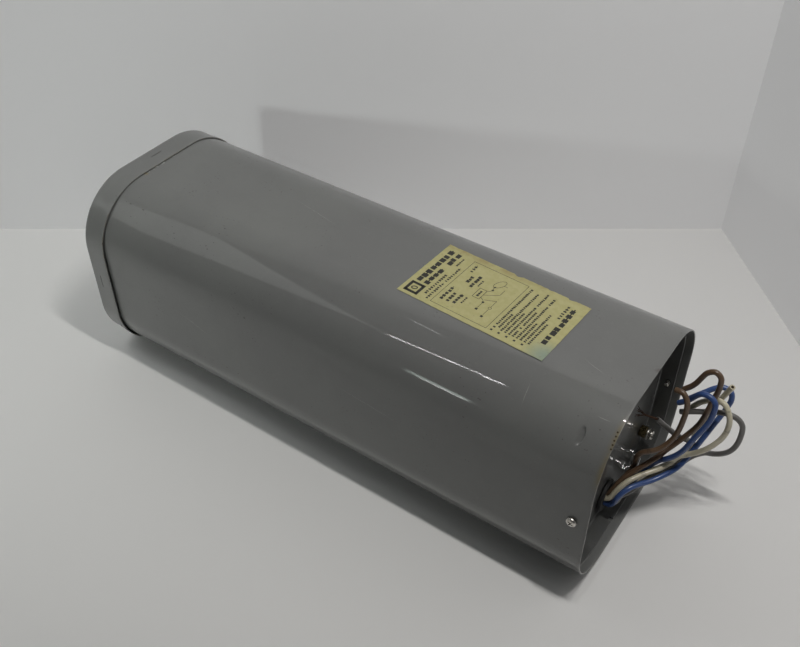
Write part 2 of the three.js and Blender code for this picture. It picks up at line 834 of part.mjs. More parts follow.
function makeBolt() {
  const end = NUT_TOP - BOLT.nutHeight - 2;
  const shank = cylinder(BOLT.shank, BOLT_TOP - end + 0.5, "z", [0, 0, (BOLT_TOP + 0.5 + end) / 2], 12);
  return shank.add(cylinder(BOLT.head, BOLT.headHeight, "z", [0, 0, BOLT_TOP + BOLT.headHeight / 2], 6));
}

function makeNut() {
  const middle = NUT_TOP - BOLT.nutHeight / 2;
  const hex = cylinder(BOLT.head, BOLT.nutHeight, "z", [0, 0, middle], 6);
  return hex.subtract(cylinder(BOLT.hole - 0.2, 3 * BOLT.nutHeight, "z", [0, 0, middle], 12));
}

BOLT_X.forEach((x, end) => {
  [-BOLT_Y, BOLT_Y].forEach((y, side) => {
    const label = `${["cap", "lead"][end]}_${["near", "far"][side]}`;
    place(`core_bolt_${label}`, makeBolt(), zinc(), [x, y, 0]);
    place(`core_nut_${label}`, makeNut(), zinc(), [x, y, 0]);
  });
});

// ---- Feet and shelf: hat-shaped sheet bridges that stand on the liner or the back wall ----
function makeBridge(x, bridge, low, high) {
  const { length, top, base, toe, sheet } = bridge;
  const right = [
    [base + toe, low],
    [base + toe, low + sheet],
    [base, low + sheet],
    [top, high - sheet],
  ];
  const outer = [
    [top + sheet, high],
    [-top - sheet, high],
  ];
  const left = right.map(([y, z]) => [-y, z]).reverse();
  const inner = [
    [-base + sheet, low],
    [-top + sheet + 0.4, high - sheet],
    [top - sheet - 0.4, high - sheet],
    [base - sheet, low],
  ];
  const ring = [right[0], right[1], right[2], outer[0], outer[1], left[1], left[2], left[3]];
  return prismX(polygon([...ring, ...inner]), x, x + length);
}

const FOOT_HIGH = CORE_LOW - 2 * GAP - CLAMP.sheet;
const FOOT_X = [CORE.start - 2, CORE_END + 2 - FOOT.length];
FOOT_X.forEach((x, end) => {
  const foot = makeBridge(x, FOOT, FLOOR_IN, FOOT_HIGH);
  place(`core_foot_${["cap", "lead"][end]}`, foot, steel());
});

function makeLiner() {
  const outside = -WALL - GAP;
  const tube = prismX(outline(outside), LINER.start, LINER.end);
  return tube.subtract(prismX(outline(outside - LINER.sheet), LINER.start - 1, LINER.end + 1));
}

place("insulating_liner", makeLiner(), board());

// ---- Capacitors with lids, strap, shelf and discharge resistor ----
const CAN_END = CAPACITOR.start + CAPACITOR.length;

function makeCan(y) {
  const profile = [
    [0, 0],
    [CAPACITOR.radius - 2, 0],
    [CAPACITOR.radius, 2],
    [CAPACITOR.radius, CAPACITOR.length],
    [0, CAPACITOR.length],
  ];
  return turned(profile, "x", [CAPACITOR.start, y, MID_Z], 32);
}

function makeLid(y) {
  const from = CAN_END + GAP;
  const radius = CAPACITOR.radius - 1.5;
  const disc = cylinder(radius, CAPACITOR.lid, "x", [from + CAPACITOR.lid / 2, y, MID_Z], 32);
  const tabs = [-1, 1].map((side) => {
    const z = MID_Z + (side * TAB.spacing) / 2;
    const low = [from + 1, y - TAB.width / 2, z - TAB.thickness / 2];
    const high = [from + CAPACITOR.lid + TAB.height, y + TAB.width / 2, z + TAB.thickness / 2];
    return box(low, high);
  });
  return union([disc, ...tabs]);
}

const SIDES = { near: -CAPACITOR.offset, far: CAPACITOR.offset };
for (const [side, y] of Object.entries(SIDES)) {
  place(`capacitor_can_${side}`, makeCan(y), aluminium());
  place(`capacitor_lid_${side}`, makeLid(y), board());
}

function makeStrap() {
  const inside = CAPACITOR.radius + GAP;
  const outside = inside + STRAP.sheet;
  const from = CAPACITOR.start + CAPACITOR.length / 2 - STRAP.width / 2;
  const width = 2 * CAPACITOR.offset;
  const hull = (radius) => roundedRectangle(width + 2 * radius, 2 * radius, radius - 0.01, 0, MID_Z);
  const ring = prismX(hull(outside), from, from + STRAP.width);
  return ring.subtract(prismX(hull(inside), from - 1, from + STRAP.width + 1));
}

place("capacitor_strap", makeStrap(), zinc());

const SHELF_HIGH = MID_Z - CAPACITOR.radius - STRAP.sheet - 2 * GAP;
const SHELF_X = CAPACITOR.start + CAPACITOR.length / 2 - 10;
place("capacitor_shelf", makeBridge(SHELF_X, SHELF, WALL + GAP, SHELF_HIGH), steel());

function makeResistor() {
  const x = CAN_END + GAP + CAPACITOR.lid + TAB.height + RESISTOR.radius + 1;
  const middle = [x, -CAPACITOR.offset, MID_Z];
  const body = cylinder(RESISTOR.radius, RESISTOR.length, "z", middle, 12);
  return body.add(cylinder(RESISTOR.wire, RESISTOR.length + 8, "z", middle, 6));
}

place("discharge_resistor", makeResistor(), paint(0x6b8f86, 0.5, 0));

export default group;
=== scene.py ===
"""Looks for the lamp ballast: an enamelled steel tube with an end cap, a lead plate and flying leads.

Lengths in this script are millimetres, and MM turns them into Blender's metres. Places come from the
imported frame: the case lies along X, its open end is at +X and its label faces +Z.
"""

import json
import math
import random

import bmesh
import bpy
from mathutils import Matrix, Vector, noise

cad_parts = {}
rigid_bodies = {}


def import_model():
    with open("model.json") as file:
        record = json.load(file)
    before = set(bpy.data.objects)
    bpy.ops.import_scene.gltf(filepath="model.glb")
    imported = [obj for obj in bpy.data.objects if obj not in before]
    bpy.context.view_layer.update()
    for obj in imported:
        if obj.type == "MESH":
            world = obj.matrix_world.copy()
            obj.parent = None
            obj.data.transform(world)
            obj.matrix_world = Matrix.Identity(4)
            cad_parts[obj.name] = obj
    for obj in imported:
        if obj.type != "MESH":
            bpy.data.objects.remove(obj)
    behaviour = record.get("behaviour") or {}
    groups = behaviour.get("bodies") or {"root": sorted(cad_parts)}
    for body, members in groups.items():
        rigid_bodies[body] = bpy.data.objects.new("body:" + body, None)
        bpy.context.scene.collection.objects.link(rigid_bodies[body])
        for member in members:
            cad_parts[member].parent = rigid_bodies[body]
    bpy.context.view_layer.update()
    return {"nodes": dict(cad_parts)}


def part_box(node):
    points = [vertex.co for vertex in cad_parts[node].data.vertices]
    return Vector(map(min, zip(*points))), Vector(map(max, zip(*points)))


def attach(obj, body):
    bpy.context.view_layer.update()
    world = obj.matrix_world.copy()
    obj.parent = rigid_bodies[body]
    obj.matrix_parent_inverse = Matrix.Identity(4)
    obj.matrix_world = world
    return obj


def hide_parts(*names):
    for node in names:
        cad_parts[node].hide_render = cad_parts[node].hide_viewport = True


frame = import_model()
MM = 0.001


# ---- Places from the frame ----
def corners(node):
    """Lowest and highest corner of a CAD node, in millimetres."""
    low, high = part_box(node)
    return low / MM, high / MM


def middle(node):
    low, high = corners(node)
    return (low + high) / 2


SLEEVE_LOW, SLEEVE_HIGH = corners("case_sleeve")
CAP_LOW, CAP_HIGH = corners("end_cap")
PLATE_LOW, PLATE_HIGH = corners("lead_plate")
LABEL_LOW, LABEL_HIGH = corners("rating_label")
RIM = SLEEVE_HIGH.x
HALF = SLEEVE_HIGH.y
MID_Z = HALF
PLATE_SHEET = 1.2
PLATE_FACE = PLATE_LOW.x + PLATE_SHEET
GROMMET = middle("rubber_grommet")
EARTH = middle("earth_post")
NEAR_SCREW = middle("side_screw_near")
FAR_SCREW = middle("side_screw_far")
CLIP = middle("wire_clip")

CORNER = 54
WALL = 1.2
CAP_OFFSET = CAP_HIGH.y - HALF
CAP_SHEET = 0.9
CAP_EDGE = 4
LANCE = {"from_lip": 13.5, "length": 12.5, "width": 0.7}
DENT = {"front": PLATE_LOW.x + 0.4, "ramp": 6, "step": 0.4, "depth": 2.2, "half": 6.8, "bow": 2.0}
KEYHOLE = {"x": -190, "head": 7, "slot": 3.5, "length": 12}
LOWER_HOLE = {"x": 196, "radius": 3.5, "length": 8}
ARC_STEPS = 48
FLAT_STEPS = 16
LEAD_RADIUS = 2.15
LABEL = {"length": 124.8, "width": 68.4, "tilt": -3.1, "lift": 0.15}


# ---- Meshes ----
def build(name, points, faces, material, body="case", slot=None, replaces=(), sharp=35):
    """A closed piece from points in millimetres, shaded smooth up to an angle."""
    mesh = bpy.data.meshes.new(name)
    mesh.from_pydata([Vector(point) * MM for point in points], [], faces)
    work = bmesh.new()
    work.from_mesh(mesh)
    bmesh.ops.recalc_face_normals(work, faces=work.faces)
    work.to_mesh(mesh)
    work.free()
    piece = bpy.data.objects.new(name, mesh)
    bpy.context.scene.collection.objects.link(piece)
    mesh.materials.append(material)
    finish_shading(piece, sharp)
    if body:
        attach(piece, body)
    if replaces:
        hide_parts(*replaces)
    return piece


def finish_shading(piece, sharp):
    mesh = piece.data
    mesh.polygons.foreach_set("use_smooth", [True] * len(mesh.polygons))
    mesh.set_sharp_from_angle(angle=math.radians(sharp))


def loft(rings, closed=False, start_tip=None, end_tip=None):
    """Points and faces that join rings of equal length. A tip closes an end with a fan."""
    count = len(rings[0])
    points = [point for ring in rings for point in ring]
    faces = []
    pairs = len(rings) if closed else len(rings) - 1
    for i in range(pairs):
        here = i * count
        there = ((i + 1) % len(rings)) * count
        for j in range(count):
            k = (j + 1) % count
            faces.append((here + j, here + k, there + k, there + j))
    for tip, base in ((start_tip, 0), (end_tip, (len(rings) - 1) * count)):
        if tip is not None:
            points.append(tip)
            faces.extend((base + j, base + (j + 1) % count, len(points) - 1) for j in range(count))
    return points, faces


def joined(parts):
    """One list of points and one of faces, from several."""
    points, faces = [], []
    for more_points, more_faces in parts:
        start = len(points)
        points.extend(more_points)
        faces.extend(tuple(start + index for index in face) for face in more_faces)
    return points, faces


def axis_point(axis, centre, radius, angle, height):
    """A point round an axis: the height runs along it."""
    across, up = radius * math.cos(angle), radius * math.sin(angle)
    if axis == "x":
        return centre + Vector((height, across, up))
    if axis == "-y":
        return centre + Vector((across, -height, up))
    if axis == "y":
        return centre + Vector((across, height, up))
    return centre + Vector((across, up, height))


def turned(profile, axis, centre, sides=48, wobble=None):
    """A turned piece. The profile is (radius, height) and starts and ends on the axis or closes itself."""
    on_axis = profile[0][0] == 0
    inner = profile[1:-1] if on_axis else profile[:-1]
    rings = []
    for radius, height in inner:
        ring = []
        for j in range(sides):
            angle = 2 * math.pi * j / sides
            extra = wobble(angle, height) if wobble else 0
            ring.append(axis_point(axis, centre, radius + extra, angle, height))
        rings.append(ring)
    if not on_axis:
        return loft(rings, closed=True)
    start = axis_point(axis, centre, 0, 0, profile[0][1])
    end = axis_point(axis, centre, 0, 0, profile[-1][1])
    return loft(rings, start_tip=start, end_tip=end)


def block(low, high):
    """A plain box, used as a cutter."""
    points = [(x, y, z) for x in (low[0], high[0]) for y in (low[1], high[1]) for z in (low[2], high[2])]
    faces = [(0, 1, 3, 2), (4, 6, 7, 5), (0, 4, 5, 1), (2, 3, 7, 6), (0, 2, 6, 4), (1, 5, 7, 3)]
    return points, faces


def rod(radius, length, axis, centre, sides=32):
    """A plain cylinder centred on a point, used as a cutter."""
    half = length / 2
    return turned([(0, -half), (radius, -half), (radius, half), (0, half)], axis, centre, sides)


def cut(piece, parts, sharp=35):
    """Cuts the given solids out of a piece."""
    for number, (points, faces) in enumerate(parts):
        tool = build(f"{piece.name}_tool_{number}", points, faces, piece.data.materials[0], body=None)
        step = piece.modifiers.new("cut", "BOOLEAN")
        step.operation = "DIFFERENCE"
        step.solver = "EXACT"
        step.object = tool
    apply_modifiers(piece)
    for number in range(len(parts)):
        bpy.data.objects.remove(bpy.data.objects[f"{piece.name}_tool_{number}"])
    finish_shading(piece, sharp)
    return piece


def apply_modifiers(piece):
    bpy.context.view_layer.update()
    graph = bpy.context.evaluated_depsgraph_get()
    mesh = bpy.data.meshes.new_from_object(piece.evaluated_get(graph))
    piece.modifiers.clear()
    piece.data = mesh


def bevelled(piece, width, segments=2, angle=30, sharp=35):
    """Rounds a piece's edges."""
    step = piece.modifiers.new("edges", "BEVEL")
    step.width = width * MM
    step.segments = segments
    step.limit_method = "ANGLE"
    step.angle_limit = math.radians(angle)
    step.harden_normals = False
    apply_modifiers(piece)
    finish_shading(piece, sharp)
    return piece


def spread(start, end, step):
    """Evenly spaced values from start to end, about a step apart."""
    count = max(1, round(abs(end - start) / step))
    return [start + (end - start) * i / count for i in range(count + 1)]


# ---- The case outline ----
def outline(offset):
    """Points (y, z) of the case outline, grown by an offset, with their outward directions (y, z).

    Steps are finest in the middle of each corner, where the stop dents are.
    """
    centre = HALF - CORNER
    radius = CORNER + offset
    signs = ((1, -1), (1, 1), (-1, 1), (-1, -1))
    points = []
    for quarter, (side, level) in enumerate(signs):
        for i in range(ARC_STEPS + 1):
            u = 2 * i / ARC_STEPS - 1
            angle = (quarter - 0.5 + 0.5 * (0.5 * u + 0.5 * u ** 3)) * math.pi / 2
            out = (math.cos(angle), math.sin(angle))
            points.append((side * centre + radius * out[0], level * centre + radius * out[1], *out))
        ahead = signs[(quarter + 1) % 4]
        out = (math.cos(quarter * math.pi / 2), math.sin(quarter * math.pi / 2))
        for i in range(1, FLAT_STEPS):
            share = i / FLAT_STEPS
            y = centre * (side + (ahead[0] - side) * share) + radius * out[0]
            z = centre * (level + (ahead[1] - level) * share) + radius * out[1]
            points.append((y, z, *out))
    return points


def around(profile, shape=None):
    """Rings of the case outline for a profile of (x, offset), each point moved outwards by shape(x, y, z)."""
    rings = []
    for x, offset in profile:
        ring = []
        for y, z, out_y, out_z in outline(offset):
            extra = shape(x, y, MID_Z + z) if shape else 0
            ring.append(Vector((x, y + out_y * extra, MID_Z + z + out_z * extra)))
        rings.append(ring)
    return rings


def smooth(value, low, high):
    """0 below low, 1 above high, and a smooth rise between them."""
    share = min(1, max(0, (value - low) / (high - low)))
    return share * share * (3 - 2 * share)


def ripple(x, y, z, size, seed):
    """Smooth waves between -1 and 1, a size apart."""
    return noise.noise(Vector((x / size + seed, y / size, z / size)))


# ---- Node materials ----
def add_node(tree, kind, inputs=None, **settings):
    made = tree.nodes.new(kind)
    for key, value in settings.items():
        setattr(made, key, value)
    for key, value in (inputs or {}).items():
        socket = made.inputs[key]
        if isinstance(value, bpy.types.NodeSocket):
            tree.links.new(value, socket)
        else:
            socket.default_value = value
    return made


def scaled(tree, coords, scale):
    """Coordinates stretched by a scale for each axis."""
    return add_node(tree, "ShaderNodeMapping", {"Vector": coords, "Scale": scale}).outputs[0]


def noise_value(tree, coords, scale, detail=3, rough=0.55, distortion=0):
    made = add_node(
        tree,
        "ShaderNodeTexNoise",
        {"Vector": coords, "Scale": scale, "Detail": detail, "Roughness": rough, "Distortion": distortion},
    )
    return made.outputs["Fac"]


def ramp(tree, value, low, high, to_low=0.0, to_high=1.0):
    """A smooth step from low to high."""
    made = add_node(
        tree,
        "ShaderNodeMapRange",
        {"Value": value, "From Min": low, "From Max": high, "To Min": to_low, "To Max": to_high},
        interpolation_type="SMOOTHSTEP",
    )
    return made.outputs[0]


def combine(tree, operation, first, second=0.0):
    return add_node(tree, "ShaderNodeMath", {0: first, 1: second}, operation=operation).outputs[0]


def times(tree, *values):
    total = values[0]
    for value in values[1:]:
        total = combine(tree, "MULTIPLY", total, value)
    return total


def either(tree, *values):
    total = values[0]
    for value in values[1:]:
        total = combine(tree, "MAXIMUM", total, value)
    return total


def blend_colour(tree, share, first, second):
    made = add_node(tree, "ShaderNodeMix", {"Factor": share}, data_type="RGBA")
    for index, value in ((6, first), (7, second)):
        if isinstance(value, bpy.types.NodeSocket):
            tree.links.new(value, made.inputs[index])
        else:
            made.inputs[index].default_value = (*value, 1)
    return made.outputs[2]


def blend_value(tree, share, first, second):
    made = add_node(tree, "ShaderNodeMix", {"Factor": share, 2: first, 3: second}, data_type="FLOAT")
    return made.outputs[0]


def near_point(tree, coords, point, radius):
    """1 at a point and 0 beyond a radius, both in millimetres."""
    away = add_node(
        tree,
        "ShaderNodeVectorMath",
        {0: coords, 1: Vector(point) * MM},
        operation="DISTANCE",
    ).outputs["Value"]
    return ramp(tree, away, radius * MM, 0.0)


def along(tree, coords, axis):
    return add_node(tree, "ShaderNodeSeparateXYZ", {0: coords}).outputs[axis]


def thin_lines(tree, coords, scale, width):
    """Fine winding lines, as hairline scratches are."""
    value = noise_value(tree, coords, scale, detail=1)
    return ramp(tree, combine(tree, "ABSOLUTE", combine(tree, "SUBTRACT", value, 0.5)), width, 0.0)


def start_material(name):
    material = bpy.data.materials.new(name)
    material.use_nodes = True
    tree = material.node_tree
    surface = tree.nodes["Principled BSDF"]
    coords = add_node(tree, "ShaderNodeTexCoord").outputs["Object"]
    return material, tree, surface, coords


def set_bump(tree, surface, height, depth):
    """Bump from a height of 0 to 1 that stands for a depth in millimetres."""
    made = add_node(tree, "ShaderNodeBump", {"Height": height, "Distance": depth * MM, "Strength": 1.0})
    tree.links.new(made.outputs[0], surface.inputs["Normal"])


def set_inputs(tree, surface, **values):
    """Sets or links inputs of the surface; an underscore in a key stands for a space."""
    for key, value in values.items():
        socket = surface.inputs[key.replace("_", " ")]
        if isinstance(value, bpy.types.NodeSocket):
            tree.links.new(value, socket)
        elif len(getattr(socket, "default_value", [0]) if hasattr(socket.default_value, "__len__") else [0]) == 4:
            socket.default_value = (*value, 1)
        else:
            socket.default_value = value


def plain_material(name, colour, roughness, metallic=0.0, drift=0.12, drift_scale=60, grain=0.01, grain_scale=900):
    """A surface whose colour and roughness drift over it, with a fine grain in its bump."""
    material, tree, surface, coords = start_material(name)
    patches = noise_value(tree, coords, drift_scale, detail=4)
    darker = tuple(c * (1 - drift) for c in colour)
    lighter = tuple(min(1, c * (1 + drift)) for c in colour)
    shade = blend_colour(tree, ramp(tree, patches, 0.3, 0.7), darker, lighter)
    fine = noise_value(tree, coords, grain_scale, detail=2)
    rough = blend_value(tree, patches, roughness * 0.8, roughness * 1.2)
    set_inputs(tree, surface, Base_Color=shade, Roughness=rough, Metallic=metallic)
    set_bump(tree, surface, fine, grain)
    return material


ENAMEL = (0.172, 0.174, 0.170)
PRIMER = (0.10, 0.085, 0.06)
RUST = (0.045, 0.028, 0.014)
STAIN = (0.20, 0.165, 0.085)
BARE = (0.40, 0.39, 0.36)
CASE_SCRATCHES = [
    ((229, -56, 164), (0.05, -0.89, -0.46), 12, 0.35),
    ((175, -61.5, 160.5), (1, 0.12, 0), 20, 0.3),
    ((205, -22, 170), (0.35, 1, 0), 26, 0.25),
    ((-60, 12, 170), (0.2, 1, 0), 60, 0.2),
    ((-120, -85, 90), (0.25, 0, 1), 50, 0.2),
    ((60, -85, 100), (0.1, 0, 1), 70, 0.2),
]


def enamel(name, shade=1.0, rough=0.4, coat=0.7, wear=None):
    """Grey stoving enamel. wear(tree, coords) gives masks for stains, rust, bare metal and light scratches; on the lead
    plate the rust mask also carries painted shade round the grommet.
    """
    material, tree, surface, coords = start_material(name)
    drift = noise_value(tree, coords, 9, detail=3)
    base = tuple(c * shade for c in ENAMEL)
    colour = blend_colour(
        tree,
        ramp(tree, drift, 0.3, 0.7),
        tuple(c * 0.94 for c in base),
        (base[0] * 1.04, base[1] * 1.05, base[2] * 1.03),
    )
    mottle = noise_value(tree, coords, 55, detail=5, rough=0.7)
    colour = blend_colour(tree, ramp(tree, mottle, 0.45, 0.75, 0, 0.10), colour, tuple(c * 0.6 for c in base))
    dust = noise_value(tree, coords, 420, detail=4, rough=0.7)
    colour = blend_colour(tree, ramp(tree, dust, 0.56, 0.8, 0, 0.10), colour, (0.42, 0.41, 0.38))
    specks = noise_value(tree, coords, 520, detail=1, rough=0.3)
    dirt = times(tree, ramp(tree, specks, 0.72, 0.76), ramp(tree, noise_value(tree, coords, 26), 0.5, 0.62))
    colour = blend_colour(tree, times(tree, dirt, 0.6), colour, (0.06, 0.055, 0.045))
    peel = noise_value(tree, coords, 300, detail=2, rough=0.4)
    roughness = blend_value(tree, noise_value(tree, coords, 30, detail=5), rough * 0.85, rough * 1.2)
    smear = ramp(tree, noise_value(tree, scaled(tree, coords, (1, 2.5, 2.5)), 22, detail=5, rough=0.65), 0.35, 0.7)
    height = combine(tree, "ADD", times(tree, peel, 0.8), times(tree, dust, 0.2))
    metallic = 0.0
    if wear:
        stain, rust, bare, scratch = wear(tree, coords)
        colour = blend_colour(tree, stain, colour, STAIN)
        colour = blend_colour(tree, scratch, colour, (0.44, 0.44, 0.42))
        colour = blend_colour(tree, bare, colour, BARE)
        colour = blend_colour(tree, rust, colour, RUST)
        roughness = blend_value(tree, either(tree, rust, bare), roughness, 0.7)
        metallic = bare
        height = combine(tree, "SUBTRACT", height, times(tree, either(tree, rust, bare), 1.5))
    set_inputs(tree, surface, Base_Color=colour, Roughness=roughness, Metallic=metallic)
    shine = blend_value(tree, metallic, coat, 0.0) if wear else coat
    set_inputs(tree, surface, Coat_Weight=shine, Coat_Roughness=blend_value(tree, smear, 0.03, 0.08))
    set_inputs(tree, surface, Specular_IOR_Level=0.15)
    set_bump(tree, surface, height, 0.006)
    return material


def scratch_line(tree, coords, point, across, length, width):
    """A straight hairline on the surface: where a thin slice through a point meets it."""
    offset = add_node(tree, "ShaderNodeVectorMath", {0: coords, 1: Vector(point) * MM}, operation="SUBTRACT").outputs[0]
    side = Vector(across).normalized()
    away = add_node(tree, "ShaderNodeVectorMath", {0: offset, 1: side}, operation="DOT_PRODUCT").outputs["Value"]
    wander = times(tree, combine(tree, "SUBTRACT", noise_value(tree, coords, 90), 0.5), 0.003)
    thin = ramp(tree, combine(tree, "ABSOLUTE", combine(tree, "ADD", away, wander)), width * MM, 0.0)
    broken = ramp(tree, noise_value(tree, coords, 200, detail=2), 0.3, 0.5, 0.35, 1)
    return times(tree, thin, near_point(tree, coords, point, length / 2), broken)


def case_wear(tree, coords):
    """Wear of the case: a stained rim with rust spots above the dent, and chips beside the cap."""
    x = along(tree, coords, 0)
    blotch = noise_value(tree, coords, 160, detail=5, rough=0.7)
    upper_rim = near_point(tree, coords, (RIM, -62, 159), 20)
    lower_rim = near_point(tree, coords, (RIM, -77, 143), 24)
    at_rim = ramp(tree, x, (RIM - 5.0) * MM, (RIM - 0.5) * MM)
    stain = times(tree, at_rim, either(tree, upper_rim, lower_rim), ramp(tree, blotch, 0.25, 0.5), 0.75)
    top_stain = times(tree, near_point(tree, coords, (RIM - 0.5, 0, 170), 5), ramp(tree, blotch, 0.4, 0.6))
    rust = times(tree, top_stain, 0.5)
    for index in range(5):
        angle = math.radians(32 + 3.1 * index)
        side, top = CORNER * math.sin(angle), CORNER * math.cos(angle)
        spot = (RIM - 1.6 + 0.2 * index, CORNER - HALF - side, HALF * 2 - CORNER + top)
        rust = either(tree, rust, ramp(tree, near_point(tree, coords, spot, 1.0), 0.1, 0.45))
    lip = near_point(tree, coords, (CAP_HIGH.x + 1, -10, 170), 26)
    lip_line = ramp(tree, x, (CAP_HIGH.x + 2.6) * MM, (CAP_HIGH.x + 0.6) * MM)
    chip_spots = noise_value(tree, coords, 330, detail=4)
    chips = times(tree, lip, lip_line, ramp(tree, chip_spots, 0.52, 0.58))
    yellow = near_point(tree, coords, (CAP_HIGH.x + 1, -26, 170), 3)
    stain = either(tree, stain, times(tree, yellow, 0.9))
    rim_edge = ramp(tree, x, (RIM - 0.5) * MM, (RIM - 0.1) * MM)
    rubbed = ramp(tree, noise_value(tree, coords, 70, detail=4), 0.42, 0.6)
    polished = times(tree, near_point(tree, coords, (RIM, -56, 163.5), 6), 0.3)
    bare = times(tree, rim_edge, either(tree, times(tree, rubbed, 0.55), polished))
    scratch = times(tree, chips, 0.7)
    for point, across, length, width in CASE_SCRATCHES:
        scratch = either(tree, scratch, times(tree, scratch_line(tree, coords, point, across, length, width), 0.6))
    return stain, rust, bare, scratch


def cap_wear(tree, coords):
    """Wear of the cap: rubbed lip and rounded edge."""
    x = along(tree, coords, 0)
    rubbed = noise_value(tree, coords, 120, detail=5, rough=0.7)
    lip = ramp(tree, x, (CAP_HIGH.x - 1.1) * MM, (CAP_HIGH.x - 0.3) * MM)
    end = ramp(tree, x, (CAP_LOW.x + 3.2) * MM, (CAP_LOW.x + 0.8) * MM)
    stain = times(tree, lip, ramp(tree, rubbed, 0.45, 0.62), 0.7)
    face = ramp(tree, x, (CAP_LOW.x + 0.6) * MM, (CAP_LOW.x + 1.2) * MM)
    bare = times(tree, end, face, ramp(tree, rubbed, 0.58, 0.64), 0.75)
    rust = times(tree, lip, ramp(tree, noise_value(tree, coords, 300, detail=3), 0.62, 0.68))
    scratch = times(tree, thin_lines(tree, scaled(tree, coords, (3, 1, 1)), 40, 0.004), end, 0.4)
    return times(tree, stain, 0.5), times(tree, rust, 0.6), times(tree, bare, 0.5), scratch


def plate_wear(tree, coords):
    """Wear of the lead plate: dark blotches round the grommet, partly rust and partly painted shade of the grommet, and
    stains under the earth terminal.
    """
    # painted shade: the rust-coloured blotches within 26 mm of the grommet also stand for the grommet's shadow on the
    # plate
    grime = near_point(tree, coords, (PLATE_FACE, GROMMET.y, GROMMET.z), 26)
    run = near_point(tree, coords, (PLATE_FACE, EARTH.y - 8, EARTH.z), 34)
    blotch = noise_value(tree, coords, 90, detail=5, rough=0.65)
    stain = times(tree, run, ramp(tree, blotch, 0.5, 0.65), 0.5)
    rust = times(tree, grime, ramp(tree, blotch, 0.55, 0.7), 0.5)
    scratch = times(tree, run, thin_lines(tree, coords, 60, 0.01), 0.5)
    return stain, times(tree, rust, 0.5), 0.0, scratch


def plated(name, colour=(0.66, 0.64, 0.6), rough=0.24, tarnish=(0.30, 0.24, 0.14)):
    """Bright plating, tarnished in patches and finely scratched."""
    material, tree, surface, coords = start_material(name)
    patches = noise_value(tree, coords, 260, detail=5, rough=0.65)
    shade = blend_colour(tree, ramp(tree, patches, 0.5, 0.75, 0, 0.75), colour, tarnish)
    lines = noise_value(tree, scaled(tree, coords, (4, 4, 60)), 90, detail=3)
    roughness = blend_value(tree, ramp(tree, patches, 0.4, 0.7), rough * 0.7, rough * 1.8)
    set_inputs(tree, surface, Base_Color=shade, Roughness=roughness, Metallic=1.0)
    set_bump(tree, surface, lines, 0.01)
    return material


def sleeving(name, colour, fade):
    """Satin PVC: handled, slightly dusty, and faded along its length."""
    material, tree, surface, coords = start_material(name)
    long_drift = noise_value(tree, coords, 38, detail=3)
    shade = blend_colour(tree, ramp(tree, long_drift, 0.35, 0.7, 0, 0.55), colour, fade)
    dust = noise_value(tree, coords, 650, detail=4, rough=0.7)
    shade = blend_colour(tree, ramp(tree, dust, 0.58, 0.8, 0, 0.3), shade, (0.32, 0.3, 0.27))
    smear = times(tree, ramp(tree, noise_value(tree, coords, 120, detail=3), 0.62, 0.72), 0.5)
    shade = blend_colour(tree, smear, shade, tuple(c * 0.35 for c in colour))
    roughness = blend_value(tree, dust, 0.22, 0.42)
    set_inputs(tree, surface, Base_Color=shade, Roughness=roughness, IOR=1.52)
    set_inputs(tree, surface, Coat_Weight=0.25, Coat_Roughness=0.2)
    set_bump(tree, surface, noise_value(tree, coords, 260, detail=3), 0.06)
    return material


def label_film():
    """Yellowed film: browner towards its far edge, with a grey-green bruise at one corner."""
    material, tree, surface, coords = start_material("label_film")
    fibres = noise_value(tree, coords, 260, detail=4, rough=0.6)
    shade = blend_colour(tree, ramp(tree, fibres, 0.3, 0.7), (0.435, 0.405, 0.175), (0.48, 0.45, 0.215))
    centre = (LABEL_LOW + LABEL_HIGH) / 2
    half = LABEL["width"] / 2
    y = along(tree, coords, 1)
    aged = ramp(tree, y, (centre.y + half - 9) * MM, (centre.y + half + 1) * MM)
    aged = times(tree, aged, ramp(tree, noise_value(tree, coords, 60, detail=4), 0.35, 0.65), 0.7)
    shade = blend_colour(tree, aged, shade, (0.27, 0.2, 0.07))
    bruise = near_point(tree, coords, (LABEL_HIGH.x - 5, centre.y - half + 2, centre.z), 20)
    shade = blend_colour(tree, times(tree, bruise, 0.9), shade, (0.24, 0.31, 0.25))
    grime = times(tree, ramp(tree, noise_value(tree, coords, 330, detail=3), 0.62, 0.7), 0.25)
    shade = blend_colour(tree, grime, shade, (0.2, 0.17, 0.08))
    set_inputs(tree, surface, Base_Color=shade, Roughness=0.5, Coat_Weight=0.1)
    set_bump(tree, surface, fibres, 0.02)
    return material


def laminations():
    """Stacked sheet edges: fine dark lines across Z under varnish."""
    material, tree, surface, coords = start_material("core_laminations")
    sheets = add_node(
        tree,
        "ShaderNodeTexWave",
        {"Vector": scaled(tree, coords, (1, 1, 1)), "Scale": 100.0, "Distortion": 0.4, "Detail": 2.0},
        bands_direction="Z",
    ).outputs["Fac"]
    patches = noise_value(tree, coords, 40, detail=4)
    steel = blend_colour(tree, patches, (0.13, 0.11, 0.1), (0.2, 0.185, 0.17))
    shade = blend_colour(tree, times(tree, sheets, 0.7), steel, (0.04, 0.03, 0.025))
    set_inputs(tree, surface, Base_Color=shade, Roughness=0.42, Metallic=0.7)
    set_bump(tree, surface, sheets, 0.08)
    return material


